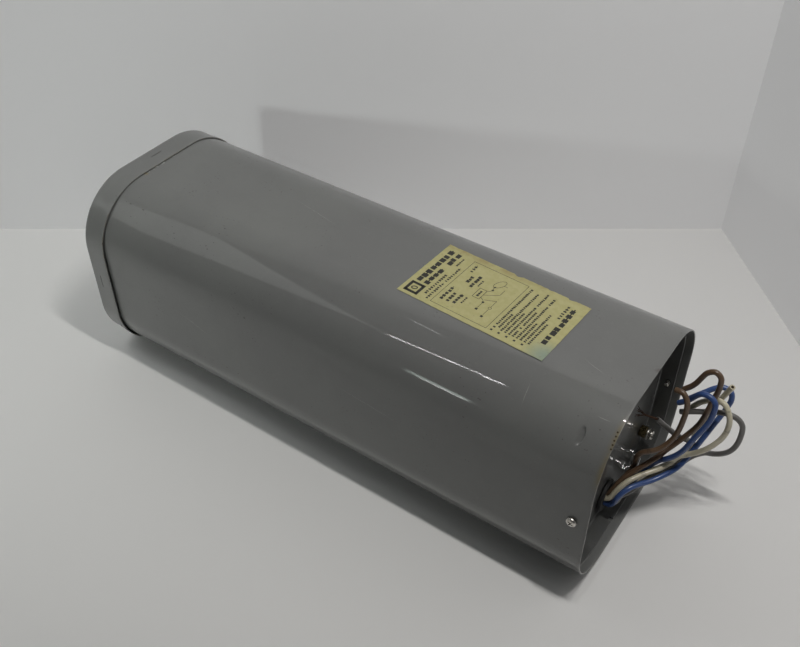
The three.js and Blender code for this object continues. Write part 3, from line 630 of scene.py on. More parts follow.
def wound(name):
    """Layered winding under lacquer, with turns along X."""
    material, tree, surface, coords = start_material(name)
    turns = add_node(
        tree,
        "ShaderNodeTexWave",
        {"Vector": coords, "Scale": 55.0, "Distortion": 0.15, "Detail": 1.0},
        bands_direction="X",
    ).outputs["Fac"]
    patches = noise_value(tree, coords, 70, detail=4)
    copper = blend_colour(tree, patches, (0.24, 0.07, 0.025), (0.42, 0.15, 0.06))
    shade = blend_colour(tree, ramp(tree, turns, 0.25, 0.0), copper, (0.05, 0.015, 0.006))
    set_inputs(tree, surface, Base_Color=shade, Roughness=0.3, Metallic=0.6, Coat_Weight=0.6)
    set_bump(tree, surface, turns, 0.35)
    return material


def pressboard():
    """Tan board with long fibres and darker flecks."""
    material, tree, surface, coords = start_material("pressboard")
    fibres = noise_value(tree, scaled(tree, coords, (1, 6, 6)), 180, detail=5, rough=0.7)
    shade = blend_colour(tree, ramp(tree, fibres, 0.3, 0.7), (0.3, 0.19, 0.08), (0.46, 0.32, 0.16))
    flecks = times(tree, ramp(tree, noise_value(tree, coords, 500, detail=2), 0.66, 0.72), 0.6)
    shade = blend_colour(tree, flecks, shade, (0.12, 0.07, 0.03))
    set_inputs(tree, surface, Base_Color=shade, Roughness=0.85)
    set_bump(tree, surface, fibres, 0.08)
    return material


MAT = {
    "case": enamel("case_enamel", wear=case_wear),
    "cap": enamel("cap_enamel", shade=1.02, wear=cap_wear),
    "plate": enamel("plate_enamel", shade=0.6, rough=0.3, coat=1.0, wear=plate_wear),
    "zinc": plated("zinc_plate"),
    "clip": plated("clip_plate", colour=(0.72, 0.72, 0.72), rough=0.12),
    "brass": plated("brass_post", colour=(0.30, 0.24, 0.13), rough=0.3, tarnish=(0.07, 0.055, 0.03)),
    "copper": plated("bare_copper", colour=(0.07, 0.04, 0.028), rough=0.4, tarnish=(0.015, 0.01, 0.008)),
    "rubber": plain_material("black_rubber", (0.014, 0.014, 0.014), 0.62, drift=0.3, grain=0.04),
    "ink": plain_material("label_ink", (0.018, 0.017, 0.014), 0.5, drift=0.35, drift_scale=300),
    "film": label_film(),
    "brown": sleeving("brown_sleeving", (0.115, 0.068, 0.038), (0.16, 0.105, 0.066)),
    "blue": sleeving("blue_sleeving", (0.040, 0.085, 0.250), (0.065, 0.125, 0.32)),
    "white": sleeving("white_sleeving", (0.62, 0.57, 0.42), (0.70, 0.65, 0.52)),
    "grey": sleeving("grey_sleeving", (0.135, 0.13, 0.122), (0.2, 0.195, 0.185)),
    "laminations": laminations(),
    "winding": wound("lacquered_winding"),
    "board": pressboard(),
    "black": plain_material("black_sheet", (0.03, 0.03, 0.031), 0.4, drift=0.3, grain=0.02),
    "can": plated("can_aluminium", colour=(0.62, 0.63, 0.64), rough=0.36, tarnish=(0.4, 0.4, 0.4)),
    "laminate": plain_material("lid_laminate", (0.16, 0.07, 0.025), 0.45, drift=0.2, grain=0.02),
    "glaze": plain_material("resistor_glaze", (0.1, 0.2, 0.17), 0.3, drift=0.15),
}


# ---- Case sleeve ----
def dent(x, y, z):
    """Depth of the stop dents: crescents in the middle of each corner, each a ramp along X that ends in a step."""
    centre = HALF - CORNER
    up = z - MID_Z
    if abs(y) < centre or abs(up) < centre:
        return 0
    angle = math.atan2(abs(up) - centre, abs(y) - centre)
    share = abs(angle - math.pi / 4) * CORNER / DENT["half"]
    if share >= 1:
        return 0
    front = DENT["front"] - DENT["bow"] * share ** 2
    rise = smooth(x, front - DENT["ramp"] * (1 - 0.5 * share), front)
    fall = 1 - smooth(x, front, front + DENT["step"])
    return DENT["depth"] * (1 - share ** 4) * rise * fall


def sleeve_shape(x, y, z):
    """Slight unevenness of the folded sheet, and the stop dents."""
    calm = 1 - smooth(x, RIM - 40, RIM - 26)
    clear = smooth(x, CAP_HIGH.x + 2, CAP_HIGH.x + 40)
    wave = 0.10 * ripple(x, y * 2, z * 2, 90, 3.1) * calm * clear
    return wave - dent(x, y, z)


def back_cutters():
    """The keyhole and the lower slot in the back wall."""
    depth = 4 * WALL
    head, slot = KEYHOLE["head"], KEYHOLE["slot"]
    slot_start = KEYHOLE["x"] - KEYHOLE["length"]
    low, high = LOWER_HOLE["x"], LOWER_HOLE["x"] + LOWER_HOLE["length"]
    radius = LOWER_HOLE["radius"]
    return [
        rod(head, depth, "z", Vector((KEYHOLE["x"], 0, 0))),
        block((slot_start, -slot, -depth), (KEYHOLE["x"], slot, depth)),
        rod(slot, depth * 1.1, "z", Vector((slot_start, 0, 0))),
        rod(radius, depth, "z", Vector((low, 0, 0))),
        rod(radius, depth, "z", Vector((high, 0, 0))),
        block((low, -radius, -depth * 1.1), (high, radius, depth * 1.1)),
    ]


def screw_hole_cutters(length):
    return [
        rod(2.15, length, "y", Vector((NEAR_SCREW.x, -HALF, NEAR_SCREW.z))),
        rod(2.15, length, "y", Vector((FAR_SCREW.x, HALF, FAR_SCREW.z))),
    ]


def make_sleeve():
    dent_start, fine_start = DENT["front"] - DENT["ramp"] - 1, DENT["front"] - DENT["bow"] - 0.5
    fine_end = DENT["front"] + 1
    stations = spread(SLEEVE_LOW.x + 0.3, dent_start, 8)
    stations += spread(dent_start, fine_start, 0.8)[1:]
    stations += spread(fine_start, fine_end, 0.25)[1:]
    stations += spread(fine_end, RIM - 0.4, 2)[1:]
    outer = [(x, 0) for x in stations]
    inner = [(x, -WALL) for x in reversed(stations)]
    rim = [(RIM - 0.12, -0.12), (RIM, -0.4), (RIM, 0.4 - WALL), (RIM - 0.12, 0.12 - WALL)]
    start = [(SLEEVE_LOW.x, 0.3 - WALL), (SLEEVE_LOW.x, -0.3)]
    rings = around(outer + rim + inner + start, sleeve_shape)
    piece = build("case_shell", *loft(rings, closed=True), MAT["case"], "case", "grey_enamel", ["case_sleeve"])
    return cut(piece, back_cutters() + screw_hole_cutters(12), sharp=30)


# ---- End cap ----
def cap_shape(x, y, z):
    """The skirt stands off the near side of the sleeve at its lip, as a slightly sprung cap does."""
    near = smooth(-y, 40, HALF)
    open_lip = smooth(x, CAP_LOW.x + 6, CAP_HIGH.x)
    wave = 0.12 * ripple(x, y, z, 70, 9.4)
    return 1.3 * near * open_lip + wave * smooth(x, CAP_LOW.x + 1, CAP_LOW.x + 8)


def face_rings(x, offset, crown, shrink):
    """Rings that run from the middle of an end face to its edge, with a slight crown."""
    rings = []
    for scale in shrink:
        height = crown * (1 - scale ** 2)
        ring = [Vector((x + height, y * scale, MID_Z + z * scale)) for y, z, _, _ in outline(offset)]
        rings.append(ring)
    return rings


def arc_profile(x, offset, radius, steps=6):
    """An edge round from an end face at x to a skirt at the offset."""
    angles = [math.pi / 2 * i / steps for i in range(steps + 1)]
    return [(x + radius * (1 - math.sin(a)), offset - radius * (1 - math.cos(a))) for a in reversed(angles)]


def make_cap():
    lip = CAP_HIGH.x
    inset = CAP_OFFSET - CAP_SHEET
    shrink = [0.04, 0.12, 0.25, 0.4, 0.55, 0.7, 0.82, 0.92]
    skirt = spread(CAP_LOW.x + CAP_EDGE, lip - 0.3, 2)[1:]
    outer = arc_profile(CAP_LOW.x, CAP_OFFSET, CAP_EDGE) + [(x, CAP_OFFSET) for x in skirt]
    edge = [(lip, CAP_OFFSET - 0.3), (lip, inset + 0.3)]
    inner = [(x, inset) for x in reversed(skirt)]
    inner += arc_profile(CAP_LOW.x + CAP_SHEET, inset, CAP_EDGE - CAP_SHEET)[::-1]
    rings = face_rings(CAP_LOW.x, CAP_OFFSET - CAP_EDGE, 0.9, shrink)
    rings += around(outer + edge + inner, cap_shape)
    inside = face_rings(CAP_LOW.x + CAP_SHEET, CAP_OFFSET - CAP_EDGE, 0.9, shrink)
    rings += inside[::-1]
    tips = [Vector((x + 0.9, 0, MID_Z)) for x in (CAP_LOW.x, CAP_LOW.x + CAP_SHEET)]
    points, faces = loft(rings, start_tip=tips[0], end_tip=tips[1])
    piece = build("cap_shell", points, faces, MAT["cap"], "end_cap", "grey_enamel", ["end_cap"])
    x = lip - LANCE["from_lip"]
    thick, across = LANCE["width"] / 2, LANCE["length"] / 2
    reach, skin = HALF + 10, HALF - 1
    slits = [
        block((x - thick, -reach, MID_Z - across), (x + thick, -skin, MID_Z + across)),
        block((x - thick, skin, MID_Z - across), (x + thick, reach, MID_Z + across)),
        block((x - thick, -across, MID_Z + skin), (x + thick, across, MID_Z + reach)),
        block((x - thick, -across, MID_Z - reach), (x + thick, across, MID_Z - skin)),
    ]
    return cut(piece, slits, sharp=30)


# ---- Lead plate ----
def plate_shape(x, y, z):
    """Slight waves in the pressed plate."""
    return 0.05 * ripple(x, y, z, 40, 5.2)


def make_plate():
    fit = PLATE_HIGH.y - HALF
    bend = 2
    edge = PLATE_HIGH.x
    shrink = [0.03, 0.08, 0.14, 0.2, 0.27, 0.34, 0.41, 0.48, 0.55, 0.62, 0.69, 0.76, 0.83, 0.9, 0.96]
    flange = spread(PLATE_LOW.x + bend, edge - 0.3, 2)
    front = arc_profile(PLATE_FACE, fit - PLATE_SHEET, bend - PLATE_SHEET, 4)
    front += [(x, fit - PLATE_SHEET) for x in flange if x > PLATE_FACE + 1]
    lip = [(edge, fit - PLATE_SHEET + 0.3), (edge, fit - 0.3)]
    back = [(x, fit) for x in reversed(flange)] + arc_profile(PLATE_LOW.x, fit, bend, 4)[::-1][1:]

    def face(x):
        rings = []
        for ring in face_rings(x, fit - bend, 0, shrink):
            for point in ring:
                point.x += 0.35 * ripple(0, point.y, point.z, 45, 7.7)
            rings.append(ring)
        return rings

    rings = face(PLATE_FACE) + around(front + lip + back, plate_shape) + face(PLATE_LOW.x)[::-1]
    tips = [Vector((x, 0, MID_Z)) for x in (PLATE_FACE, PLATE_LOW.x)]
    points, faces = loft(rings, start_tip=tips[0], end_tip=tips[1])
    piece = build("lead_plate_pan", points, faces, MAT["plate"], "case", "grey_enamel", ["lead_plate"])
    notch = {"y": -3, "width": 4, "depth": 3}
    half = notch["width"] / 2
    cutters = [
        rod(11.3, 9, "x", Vector((PLATE_FACE, GROMMET.y, GROMMET.z)), 64),
        rod(2.6, 9, "x", Vector((PLATE_FACE, EARTH.y, EARTH.z))),
        block((edge - notch["depth"], notch["y"] - half, -1), (edge + 1, notch["y"] + half, 5)),
    ]
    return cut(piece, cutters + screw_hole_cutters(14), sharp=30)


# ---- Grommet, screws and earth terminal ----
def round_profile(corner_points, radius, steps=4):
    """A closed or open profile whose inner corners are rounded."""
    result = [corner_points[0]]
    for before, here, after in zip(corner_points, corner_points[1:], corner_points[2:]):
        back = Vector(before) - Vector(here)
        ahead = Vector(after) - Vector(here)
        reach = min(radius, back.length / 2.2, ahead.length / 2.2)
        start = Vector(here) + back.normalized() * reach
        end = Vector(here) + ahead.normalized() * reach
        for i in range(steps + 1):
            t = i / steps
            point = start * (1 - t) ** 2 + Vector(here) * 2 * t * (1 - t) + end * t ** 2
            result.append((point.x, point.y))
    result.append(corner_points[-1])
    return result


def make_grommet():
    low, high = corners("rubber_grommet")
    bore, groove, lip = 7.9, 11, (high.y - low.y) / 2
    back, front = low.x - PLATE_FACE, high.x - PLATE_FACE
    profile = [
        (bore, (back + front) / 2),
        (bore, back),
        (lip - 1, back),
        (lip - 1, -PLATE_SHEET - 0.3),
        (groove, -PLATE_SHEET - 0.3),
        (groove, 0.3),
        (lip, 0.3),
        (lip - 0.6, front),
        (bore, front),
        (bore, (back + front) / 2),
    ]
    centre = Vector((PLATE_FACE, GROMMET.y, GROMMET.z))

    def wobble(angle, height):
        return 0.12 * math.sin(3 * angle + height)

    points, faces = turned(round_profile(profile, 0.9), "x", centre, 72, wobble)
    return build("grommet_ring", points, faces, MAT["rubber"], "case", "black_rubber", ["rubber_grommet"])


def make_side_screw(name, node, place, axis, body, turn):
    """A pan-head screw with a cross recess. Its height runs outwards."""
    low, high = corners(node)
    seat = HALF + 0.3
    radius = (high.z - low.z) / 2 if axis == "y" else 4
    dome = (high.y - seat) if axis == "y" else (-low.y - seat)
    shank, length = 1.8, 8
    profile = [
        (0, -length),
        (shank - 0.5, -length),
        (shank, -length + 0.6),
        (shank, 0),
        (radius, 0),
        (radius, 0.35 * dome),
        (0.93 * radius, 0.68 * dome),
        (0.7 * radius, 0.93 * dome),
        (0.35 * radius, dome),
        (0, dome),
    ]
    out = 1 if axis == "y" else -1
    centre = Vector((place.x, out * seat, place.z))
    points, faces = turned(round_profile(profile, 0.35), axis, centre, 48)
    piece = build(name, points, faces, MAT["zinc"], body, "zinc_plate", [node])
    long, thin, depth = 2.3, 0.45, 1.3
    tools = []
    for spin in (turn, turn + math.pi / 2):
        tool_points, tool_faces = block((-long, -depth, -thin), (long, depth, thin))
        spun = Matrix.Rotation(spin, 3, "Y")
        tip = centre + Vector((0, out * dome, 0))
        tools.append(([spun @ Vector(p) + tip for p in tool_points], tool_faces))
    return cut(piece, tools)


def make_earth_post():
    low, high = corners("earth_post")
    radius = (high.z - low.z) / 2
    half = (high.x - low.x) / 2
    profile = [(0, -half), (radius - 0.1, -half), (radius, 0.3 - half), (radius, half - 0.7), (radius - 0.8, half), (0, half)]
    points, faces = turned(profile, "x", EARTH, 6)
    piece = build("earth_post_hex", points, faces, MAT["brass"], "case", "brass", ["earth_post"], sharp=20)
    cut(piece, [rod(2.6, 4 * half, "x", EARTH)], sharp=20)
    return bevelled(piece, 0.15, sharp=20)


def make_earth_washer():
    low, high = corners("earth_cup_washer")
    radius, thick = (high.y - low.y) / 2, high.x - low.x
    profile = [
        (2.6, thick / 2),
        (2.6, 0.5),
        (radius - 1, 0.5),
        (radius - 0.8, 0),
        (radius, 0),
        (radius, thick),
        (2.6, thick),
        (2.6, thick / 2),
    ]
    centre = Vector((low.x, EARTH.y, EARTH.z))
    points, faces = turned(round_profile(profile, 0.3), "x", centre, 48)
    return build("earth_washer_cup", points, faces, MAT["zinc"], "earth_screw", "zinc_plate", ["earth_cup_washer"])


def make_earth_screw():
    low, high = corners("earth_screw")
    radius, top, shank = (high.y - low.y) / 2, 3.2, 2.3
    seat = high.x - top
    end = low.x - seat
    profile = [(0, end), (shank - 0.6, end), (shank, end + 0.7)]
    pitch = 0.8
    for i in range(int((-end - 2.2) / pitch)):
        start = end + 1 + i * pitch
        profile += [(shank, start), (shank - 0.35, start + pitch / 2)]
    profile += [(shank, -0.8), (shank, 0), (radius, 0), (radius, 0.72 * top), (0.82 * radius, top), (0, top)]
    centre = Vector((seat, EARTH.y, EARTH.z))
    head = round_profile(profile, 0.25, 3)
    piece = build("earth_screw_body", *turned(head, "x", centre, 48), MAT["zinc"], "earth_screw", "zinc_plate", ["earth_screw"])
    reach = radius + 1
    slot_points, slot_faces = block((top - 1.4, -reach, -0.55), (top + 1, reach, 0.55))
    spun = Matrix.Rotation(-0.45, 3, "X")
    cut(piece, [([spun @ Vector(p) + centre for p in slot_points], slot_faces)])
    return piece


# ---- Wire clip ----
def strip(path, width, thickness, place):
    """A bent strip: the path is (x, y) in its own plane, and place puts a point in the frame."""
    points = [Vector(p) for p in path]
    rings = []
    for i, point in enumerate(points):
        ahead = points[min(i + 1, len(points) - 1)] - points[max(i - 1, 0)]
        side = Vector((-ahead.y, ahead.x)).normalized() * thickness / 2
        crease = 0.25 * ripple(point.x, point.y, 0, 4, 2.0)
        half = width / 2 + crease
        edge = min(0.25, thickness / 3)
        near, far = point - side, point + side
        ring = [
            (*near, -half + edge),
            (*near, half - edge),
            (*(near + side * 0.5), half),
            (*(far - side * 0.5), half),
            (*far, half - edge),
            (*far, -half + edge),
            (*(far - side * 0.5), -half),
            (*(near + side * 0.5), -half),
        ]
        rings.append([place(Vector(p)) for p in ring])
    middles = [sum(ring, Vector()) / len(ring) for ring in (rings[0], rings[-1])]
    return loft(rings, start_tip=middles[0], end_tip=middles[1])


def rounded_path(corner_points, radius, steps=6):
    return [Vector(point) for point in round_profile(corner_points, radius, steps)]


def make_clip():
    low, _ = corners("wire_clip")
    half, reach, width, sheet = 5.5, 8.5, 5, 0.8
    path = rounded_path([(0.5, -half - 3.5), (0.5, -half), (reach, -half), (reach, half), (0.5, half), (0.5, half + 2.5)], 2.2)
    spun = Matrix.Rotation(0.7, 3, "X")
    centre = Vector((low.x, CLIP.y, CLIP.z))

    def place(point):
        bent = point + Vector((0, 0, 0.7 * math.sin(point.y * 0.5)))
        return spun @ bent + centre

    points, faces = strip(path, width, sheet, place)
    return build("wire_clip_strip", points, faces, MAT["clip"], "case", "zinc_plate", ["wire_clip"])


# ---- Leads ----
def centreline(node):
    """Centres of the rings of a swept CAD lead, from its flat inner end to its free end."""
    mesh = frame["nodes"][node].data
    work = bmesh.new()
    work.from_mesh(mesh)
    bmesh.ops.remove_doubles(work, verts=work.verts, dist=1e-6)
    start_x = min(v.co.x for v in work.verts)
    layer = [v for v in work.verts if v.co.x < start_x + 1e-5]
    seen = set(layer)
    centres = []
    while layer:
        centres.append(sum((v.co for v in layer), Vector()) / len(layer) / MM)
        ahead = {e.other_vert(v) for v in layer for e in v.link_edges} - seen
        seen |= ahead
        layer = list(ahead)
    work.free()
    return centres


def spline(points, step):
    """A smooth line through points, resampled at about a step."""
    result = []
    last = len(points) - 1
    for i in range(last):
        before, here = points[max(i - 1, 0)], points[i]
        there, after = points[i + 1], points[min(i + 2, last)]
        count = max(1, round((there - here).length / step))
        for k in range(count):
            t = k / count
            result.append(
                0.5
                * (
                    2 * here
                    + (there - before) * t
                    + (2 * before - 5 * here + 4 * there - after) * t ** 2
                    + (3 * here - before - 3 * there + after) * t ** 3
                )
            )
    result.append(points[last])
    return result


def frames_along(points):
    """At each point of a line: the point and two directions across the line that don't twist."""
    tangents = []
    for i in range(len(points)):
        tangents.append((points[min(i + 1, len(points) - 1)] - points[max(i - 1, 0)]).normalized())
    across = tangents[0].orthogonal().normalized()
    result = []
    for point, tangent in zip(points, tangents):
        across = (across - tangent * across.dot(tangent)).normalized()
        result.append((point, across, tangent.cross(across)))
    return result


def ring_at(station, radius, sides, phase=0.0):
    point, across, up = station
    angles = [phase + 2 * math.pi * j / sides for j in range(sides)]
    return [point + (across * math.cos(a) + up * math.sin(a)) * radius for a in angles]


def shifted(station, distance):
    point, across, up = station
    return point + across.cross(up) * distance, across, up


def make_lead(name, colour):
    """Sleeving with a bored end, and the wire end inside it."""
    stations = frames_along(spline(centreline(name), 1.6))
    rings = [ring_at(station, LEAD_RADIUS, 20) for station in stations[:-1]]
    end = stations[-1]
    bore = 1.25
    lip = [(-0.25, LEAD_RADIUS), (0, LEAD_RADIUS - 0.25), (0, bore + 0.15), (-0.2, bore), (-2.5, bore)]
    rings += [ring_at(shifted(end, distance), radius, 20) for distance, radius in lip]
    start_tip = stations[0][0]
    end_tip = shifted(end, -2.5)[0]
    slot = f"{colour}_sleeving"
    points, faces = loft(rings, start_tip=start_tip, end_tip=end_tip)
    build(f"{name}_sleeving", points, faces, MAT[colour], "case", slot, [name], sharp=50)
    if name != "grey_lead_b":
        wires = wire_bundle([shifted(end, -2.3), shifted(end, -1.2), shifted(end, -0.15)], 0.0)
        build(f"{name}_wire_end", *wires, MAT["copper"], "case", "bare_copper", sharp=50)


def wire_bundle(stations, flare, strand=0.33, lay=0.8, twist=0.6):
    """Seven strands: one in the middle and six round it."""
    strands = []
    for index in range(7):
        rings = []
        for step, (point, across, up) in enumerate(stations):
            share = step / (len(stations) - 1)
            angle = index * math.pi / 3 + twist * step
            away = 0 if index == 6 else lay * (1 + flare * share ** 3)
            centre = point + (across * math.cos(angle) + up * math.sin(angle)) * away
            rings.append(ring_at((centre, across, up), strand, 8))
        tips = [sum(ring, Vector()) / len(ring) for ring in (rings[0], rings[-1])]
        strands.append(loft(rings, start_tip=tips[0], end_tip=tips[1]))
    return joined(strands)


LEADS = [f"{colour}_lead_{letter}" for colour in ("brown", "blue", "white", "grey") for letter in "ab"]


def make_strands():
    """The bare end of a grey lead: a twisted bundle that opens into a fan."""
    rng = random.Random(11)
    start = centreline("grey_lead_b")[-1]
    low, high = corners("copper_strands")
    neck = Vector((231, 34, 89))
    strands = []
    for index in range(9):
        tip = Vector((low.x + rng.uniform(0, 4), rng.uniform(low.y + 1, high.y - 4), rng.uniform(low.z + 3, high.z)))
        angle = index * 2 * math.pi / 9
        ring = Vector((0, math.cos(angle), math.sin(angle)))
        line = [
            start + ring * 0.75,
            (start + neck) / 2 + ring * 0.55,
            neck + ring * 0.45,
            neck.lerp(tip, 0.5) + ring * 0.9,
            tip,
        ]
        stations = frames_along(spline(line, 1.2))
        rings = [ring_at(station, 0.24, 8) for station in stations]
        strands.append(loft(rings, start_tip=stations[0][0], end_tip=stations[-1][0]))
    return build("copper_strand_fan", *joined(strands), MAT["copper"], "case", "bare_copper", ["copper_strands"])


# ---- Rating label, with ruled bars in place of lettering ----
LABEL_CENTRE = (LABEL_LOW + LABEL_HIGH) / 2
LABEL_TURN = Matrix.Rotation(math.radians(LABEL["tilt"]), 3, "Z")
LABEL_BASE = LABEL_LOW.z + 0.05


def on_label(u, v, height):
    """A point of the label: u runs from its cap end, v from its near edge, in millimetres."""
    flat = Vector((u - LABEL["length"] / 2, v - LABEL["width"] / 2, 0))
    return LABEL_TURN @ flat + Vector((LABEL_CENTRE.x, LABEL_CENTRE.y, LABEL_BASE + height))


def make_label():
    """A thin film with small nicks in its edges and a frayed far edge."""
    rng = random.Random(5)
    length, width, film = LABEL["length"], LABEL["width"], 0.16
    border = [(u, 0 + rng.uniform(0, 0.25)) for u in spread(0, length, 2.4)[:-1]]
    border += [(length - rng.uniform(0, 0.2), v) for v in spread(0, width, 3.5)[:-1]]
    for u in spread(length, 0, 1.6)[:-1]:
        torn = 1.6 * smooth(ripple(u, 0, 0, 9, 4.5), 0.12, 0.5)
        border.append((u, width - rng.uniform(0, 0.35) - torn))
    border += [(rng.uniform(0, 0.2), v) for v in spread(width, 0, 3.5)[:-1]]
    bottom = [on_label(u, v, 0) for u, v in border]
    top = [on_label(u, v, film) for u, v in border]
    count = len(border)
    faces = [tuple(reversed(range(count))), tuple(range(count, 2 * count))]
    faces += [(i, (i + 1) % count, count + (i + 1) % count, count + i) for i in range(count)]
    return build("label_sheet", bottom + top, faces, MAT["film"], "case", "label_film", ["rating_label"], sharp=20)


class Print:
    """Flat ink shapes that lie on the label."""

    INK = (0.145, 0.185)

    def __init__(self):
        self.parts = []

    def shape(self, border):
        low, high = self.INK
        count = len(border)
        points = [on_label(u, v, low) for u, v in border] + [on_label(u, v, high) for u, v in border]
        faces = [tuple(reversed(range(count))), tuple(range(count, 2 * count))]
        faces += [(i, (i + 1) % count, count + (i + 1) % count, count + i) for i in range(count)]
        self.parts.append((points, faces))

    def bar(self, u, v, deep, wide):
        self.shape([(u, v), (u + deep, v), (u + deep, v + wide), (u, v + wide)])

    def line(self, start, end, width=0.35):
        begin, finish = Vector(start), Vector(end)
        side = (finish - begin).orthogonal().normalized() * width / 2
        self.shape([begin - side, finish - side, finish + side, begin + side])

    def frame(self, u0, v0, u1, v1, width=0.35):
        self.line((u0, v0 - width / 2), (u0, v1 + width / 2), width)
        self.line((u1, v0 - width / 2), (u1, v1 + width / 2), width)
        self.line((u0, v0), (u1, v0), width)
        self.line((u0, v1), (u1, v1), width)

    def ring(self, u, v, long, short, tilt, width=0.35):
        turn = Matrix.Rotation(tilt, 2)
        corners_2d = []
        for i in range(25):
            angle = 2 * math.pi * i / 24
            corners_2d.append(turn @ Vector((long * math.cos(angle), short * math.sin(angle))) + Vector((u, v)))
        for start, end in zip(corners_2d, corners_2d[1:]):
            self.line(start, end, width)

    def row(self, rng, u, v0, v1, deep, pitch, share=0.84, gaps=0.0):
        """A row of small blocks that stands for a line of print; gaps is the share left blank."""
        v = v0
        while v < v1 - pitch * 0.6:
            if rng.random() >= gaps:
                wide = pitch * share * rng.uniform(0.75, 1.1)
                cut_in = rng.uniform(0, 0.25) * deep
                self.bar(u + cut_in * rng.random(), v, deep - cut_in, min(wide, v1 - v))
                if rng.random() < 0.5:
                    self.bar(u + deep * 0.35, v + wide, deep * 0.22, pitch - wide)
            v += pitch


def make_print():
    """Greeked print: a square mark, heavy rows, a framed circuit outline and bulleted rows."""
    rng = random.Random(23)
    ink = Print()
    ink.frame(4.5, 4.5, 14.5, 14.5, 2.4)
    ink.ring(9.5, 9.5, 2.2, 1.5, 0.4, 1.0)
    ink.row(rng, 4.6, 18.0, 62.0, 5.0, 5.6)
    ink.row(rng, 11.3, 18.0, 42.0, 4.6, 5.4)
    ink.row(rng, 11.3, 46.5, 62.5, 4.6, 5.3)
    ink.row(rng, 18.5, 9.0, 37.0, 2.3, 2.5, 0.6, 0.12)
    ink.row(rng, 18.6, 49.0, 60.0, 1.7, 2.1, 0.7)
    ink.row(rng, 22.6, 5.0, 48.0, 2.2, 2.4, 0.6, 0.1)
    ink.frame(27.5, 4.5, 76.0, 62.0)
    ink.row(rng, 30.5, 7.5, 31.0, 3.2, 3.4, 0.72, 0.08)
    ink.row(rng, 30.8, 50.0, 59.0, 2.8, 3.0, 0.5)
    ink.row(rng, 36.0, 11.5, 24.0, 2.9, 3.0)
    ink.row(rng, 35.2, 38.0, 48.5, 2.9, 3.0)
    ink.row(rng, 41.0, 12.5, 24.0, 2.9, 3.0)
    ink.row(rng, 40.2, 35.0, 50.0, 2.9, 3.0)
    ink.row(rng, 46.0, 16.0, 25.0, 1.6, 2.0, 0.7)
    ink.row(rng, 45.0, 39.0, 46.5, 1.6, 2.0, 0.7)
    ink.frame(48.5, 27.5, 54.5, 38.5, 0.4)
    ink.row(rng, 50.4, 29.5, 37.0, 2.0, 2.4)
    draw_circuit(ink)
    for number, (u, v1) in enumerate(((79.0, 60.5), (85.2, 59.0), (91.6, 62.5), (98.0, 61.5), (104.4, 45.0))):
        ink.bar(u, 4.8, 1.7, 1.7)
        ink.row(rng, u, 8.6, v1, 2.0, 2.0, 0.74, 0.05)
        ink.row(rng, u + 3.1, 8.6, 30.0 + 5.5 * (number % 3), 2.0, 2.0, 0.74, 0.05)
    ink.row(rng, 110.0, 44.0, 62.0, 2.6, 2.9, 0.5)
    ink.row(rng, 114.2, 15.0, 59.5, 4.6, 5.6, 0.86)
    return build("label_print", *joined(ink.parts), MAT["ink"], "case", "label_film", sharp=20)


def draw_circuit(ink):
    """A generic lamp circuit: a box, terminals and a lamp outline."""
    ink.ring(58.0, 50.5, 5.6, 2.9, 1.1, 0.35)
    ink.line((56.0, 44.8), (57.2, 46.2), 1.2)
    ink.bar(56.4, 41.0, 1.6, 1.6)
    ink.line((55.0, 38.5), (57.2, 41.0))
    ink.line((57.2, 42.6), (56.2, 44.8))
    ink.line((54.5, 33.0), (64.5, 40.0))
    ink.line((64.5, 40.0), (64.5, 47.0))
    ink.line((61.0, 51.0), (64.5, 51.0))
    ink.line((54.5, 30.0), (58.0, 28.0))
    ink.bar(58.0, 25.5, 1.8, 1.8)
    ink.line((58.9, 25.5), (58.9, 19.0))
    ink.bar(58.0, 16.5, 2.0, 2.0)
    ink.line((58.0, 29.0), (66.5, 33.0))
    ink.line((66.5, 33.0), (66.5, 25.5))
    ink.ring(66.5, 23.8, 1.2, 1.2, 0, 0.35)
    ink.line((66.5, 22.0), (66.5, 15.0))
    ink.bar(65.6, 12.0, 2.0, 2.0)


# ---- Pieces inside the case keep their CAD shape and get their materials ----
INSIDE = {
    "laminations": ["core_e_stack", "core_i_stack", "shunt_near", "shunt_far"],
    "winding": ["primary_winding", "secondary_winding"],
    "board": ["core_gap_spacer", "primary_former", "secondary_former", "insulating_liner"],
    "can": ["capacitor_can_near", "capacitor_can_far"],
    "laminate": ["capacitor_lid_near", "capacitor_lid_far"],
    "glaze": ["discharge_resistor"],
    "black": ["core_foot_cap", "core_foot_lead", "capacitor_shelf"]
    + [f"clamp_angle_{end}_{level}" for end in ("cap", "lead") for level in ("upper", "lower")],
    "zinc": ["capacitor_strap"]
    + [f"core_{kind}_{end}_{side}" for kind in ("bolt", "nut") for end in ("cap", "lead") for side in ("near", "far")],
}


def dress_inside():
    for material, nodes in INSIDE.items():
        for name in nodes:
            node = frame["nodes"][name]
            node.data.materials.clear()
            node.data.materials.append(MAT[material])


# ---- Room, light and camera ----
CAMERA = {"target": (18.1, 17.4, 85), "azimuth": 34.65, "elevation": 41.9, "distance": 803, "lens": 43}
FLOOR_GLOW = {"near": 550, "far": 1700, "strength": 0.48}
ROOM = {"corner": (165, 425), "left": (-485, -25), "right": (294, 286), "height": 900, "floor": 3000}


def horizontal(azimuth):
    """The direction from the object to a viewer at an azimuth, with 0 towards -Y."""
    angle = math.radians(azimuth)
    return Vector((math.sin(angle), -math.cos(angle), 0))


